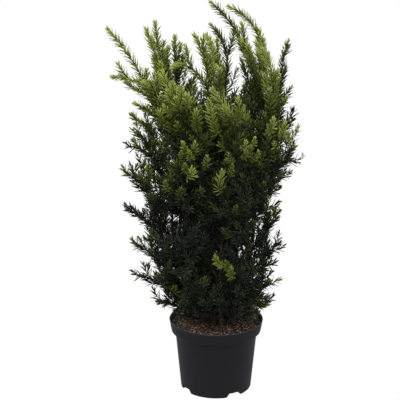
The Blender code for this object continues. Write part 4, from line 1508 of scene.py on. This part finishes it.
def make_twigs(shoots):
    """The wood of every shoot: old brown wood and young green wood."""
    woods = (Gathered(), Gathered())
    for shoot in shoots:
        age = 0 if shoot.radii[0] > OLD_WOOD_RADIUS else 1
        woods[age].add(*tube(shoot.points, shoot.radii, TWIG_SIDES))
    for wood, (name, slot, finish, colour, roughness) in zip(woods, TWIG_WOODS):
        material = plain_material(finish, colour, roughness, TWIG_SPECULAR)
        dress(wood.piece(name, material, smooth=True))


# Stage


def make_floor():
    """A wide white floor that lights nothing."""
    half = FLOOR_SIZE / 2
    corners = [(-half, -half, 0.0), (half, -half, 0.0), (half, half, 0.0), (-half, half, 0.0)]
    material = bpy.data.materials.new("floor_white")
    material.use_nodes = True
    nodes = material.node_tree.nodes
    nodes.clear()
    glow = nodes.new("ShaderNodeEmission")
    output = nodes.new("ShaderNodeOutputMaterial")
    material.node_tree.links.new(glow.outputs["Emission"], output.inputs["Surface"])
    floor = shaped("floor", corners, [(0, 1, 2), (0, 2, 3)], material)
    floor.visible_diffuse = False
    floor.visible_glossy = False
    floor.visible_shadow = False


def make_light():
    """An even white room, darker from below, and one soft lamp above the front."""
    scene = bpy.context.scene
    world = bpy.data.worlds.new("studio")
    world.use_nodes = True
    scene.world = world
    nodes, links = world.node_tree.nodes, world.node_tree.links
    background = nodes["Background"]
    background.inputs["Color"].default_value = (1.0, 1.0, 1.0, 1.0)
    place = nodes.new("ShaderNodeTexCoord")
    split = nodes.new("ShaderNodeSeparateXYZ")
    grade = nodes.new("ShaderNodeMapRange")
    ends = (*HORIZON, WORLD_BELOW, WORLD_ABOVE)
    for socket, value in zip(("From Min", "From Max", "To Min", "To Max"), ends):
        grade.inputs[socket].default_value = value
    links.new(place.outputs["Generated"], split.inputs["Vector"])
    links.new(split.outputs["Z"], grade.inputs["Value"])
    links.new(grade.outputs["Result"], background.inputs["Strength"])
    lamp = bpy.data.lights.new("key", "AREA")
    lamp.shape = "DISK"
    lamp.size = KEY_SIZE
    lamp.energy = KEY_WATTS
    key = bpy.data.objects.new("key", lamp)
    key.location = KEY_PLACE
    key.rotation_euler = (Vector(KEY_AIM) - Vector(KEY_PLACE)).to_track_quat("-Z", "Y").to_euler()
    scene.collection.objects.link(key)


def make_camera():
    lens = bpy.data.cameras.new("camera")
    lens.lens = LENS_MM
    lens.sensor_width = SENSOR_MM
    lens.clip_end = FARTHEST
    camera = bpy.data.objects.new("camera", lens)
    camera.location = CAMERA
    camera.rotation_euler = (math.pi / 2 - CAMERA_PITCH, 0.0, 0.0)
    scene = bpy.context.scene
    scene.collection.objects.link(camera)
    scene.camera = camera
    scene.view_settings.view_transform = "Standard"


def foliage_nodes():
    """The foliage solids of each material slot."""
    found = {}
    for row in frame["record"]["subparts"]:
        if row["node"].startswith("foliage_"):
            found.setdefault(row["material_slot"], []).append(row["node"])
    return found


def main():
    make_floor()
    make_light()
    make_camera()
    make_pot()
    make_soil()
    make_chips(np.random.default_rng(SEED + 1))
    stems = make_stems()
    boughs = make_boughs(stems)
    limbs = [*stems.values(), *boughs.values()]
    bark = grained_material("bark_brown")
    for limb in limbs:
        make_bark(limb, bark)
    crown = Crown(stems, boughs)
    crown.grow()
    thicket = Thicket(crown.shoots, limbs, np.random.default_rng(SEED + 2))
    thicket.grow()
    make_twigs(thicket.shoots)
    make_needles(thicket.shoots, foliage_nodes(), np.random.default_rng(SEED + 3))


main()
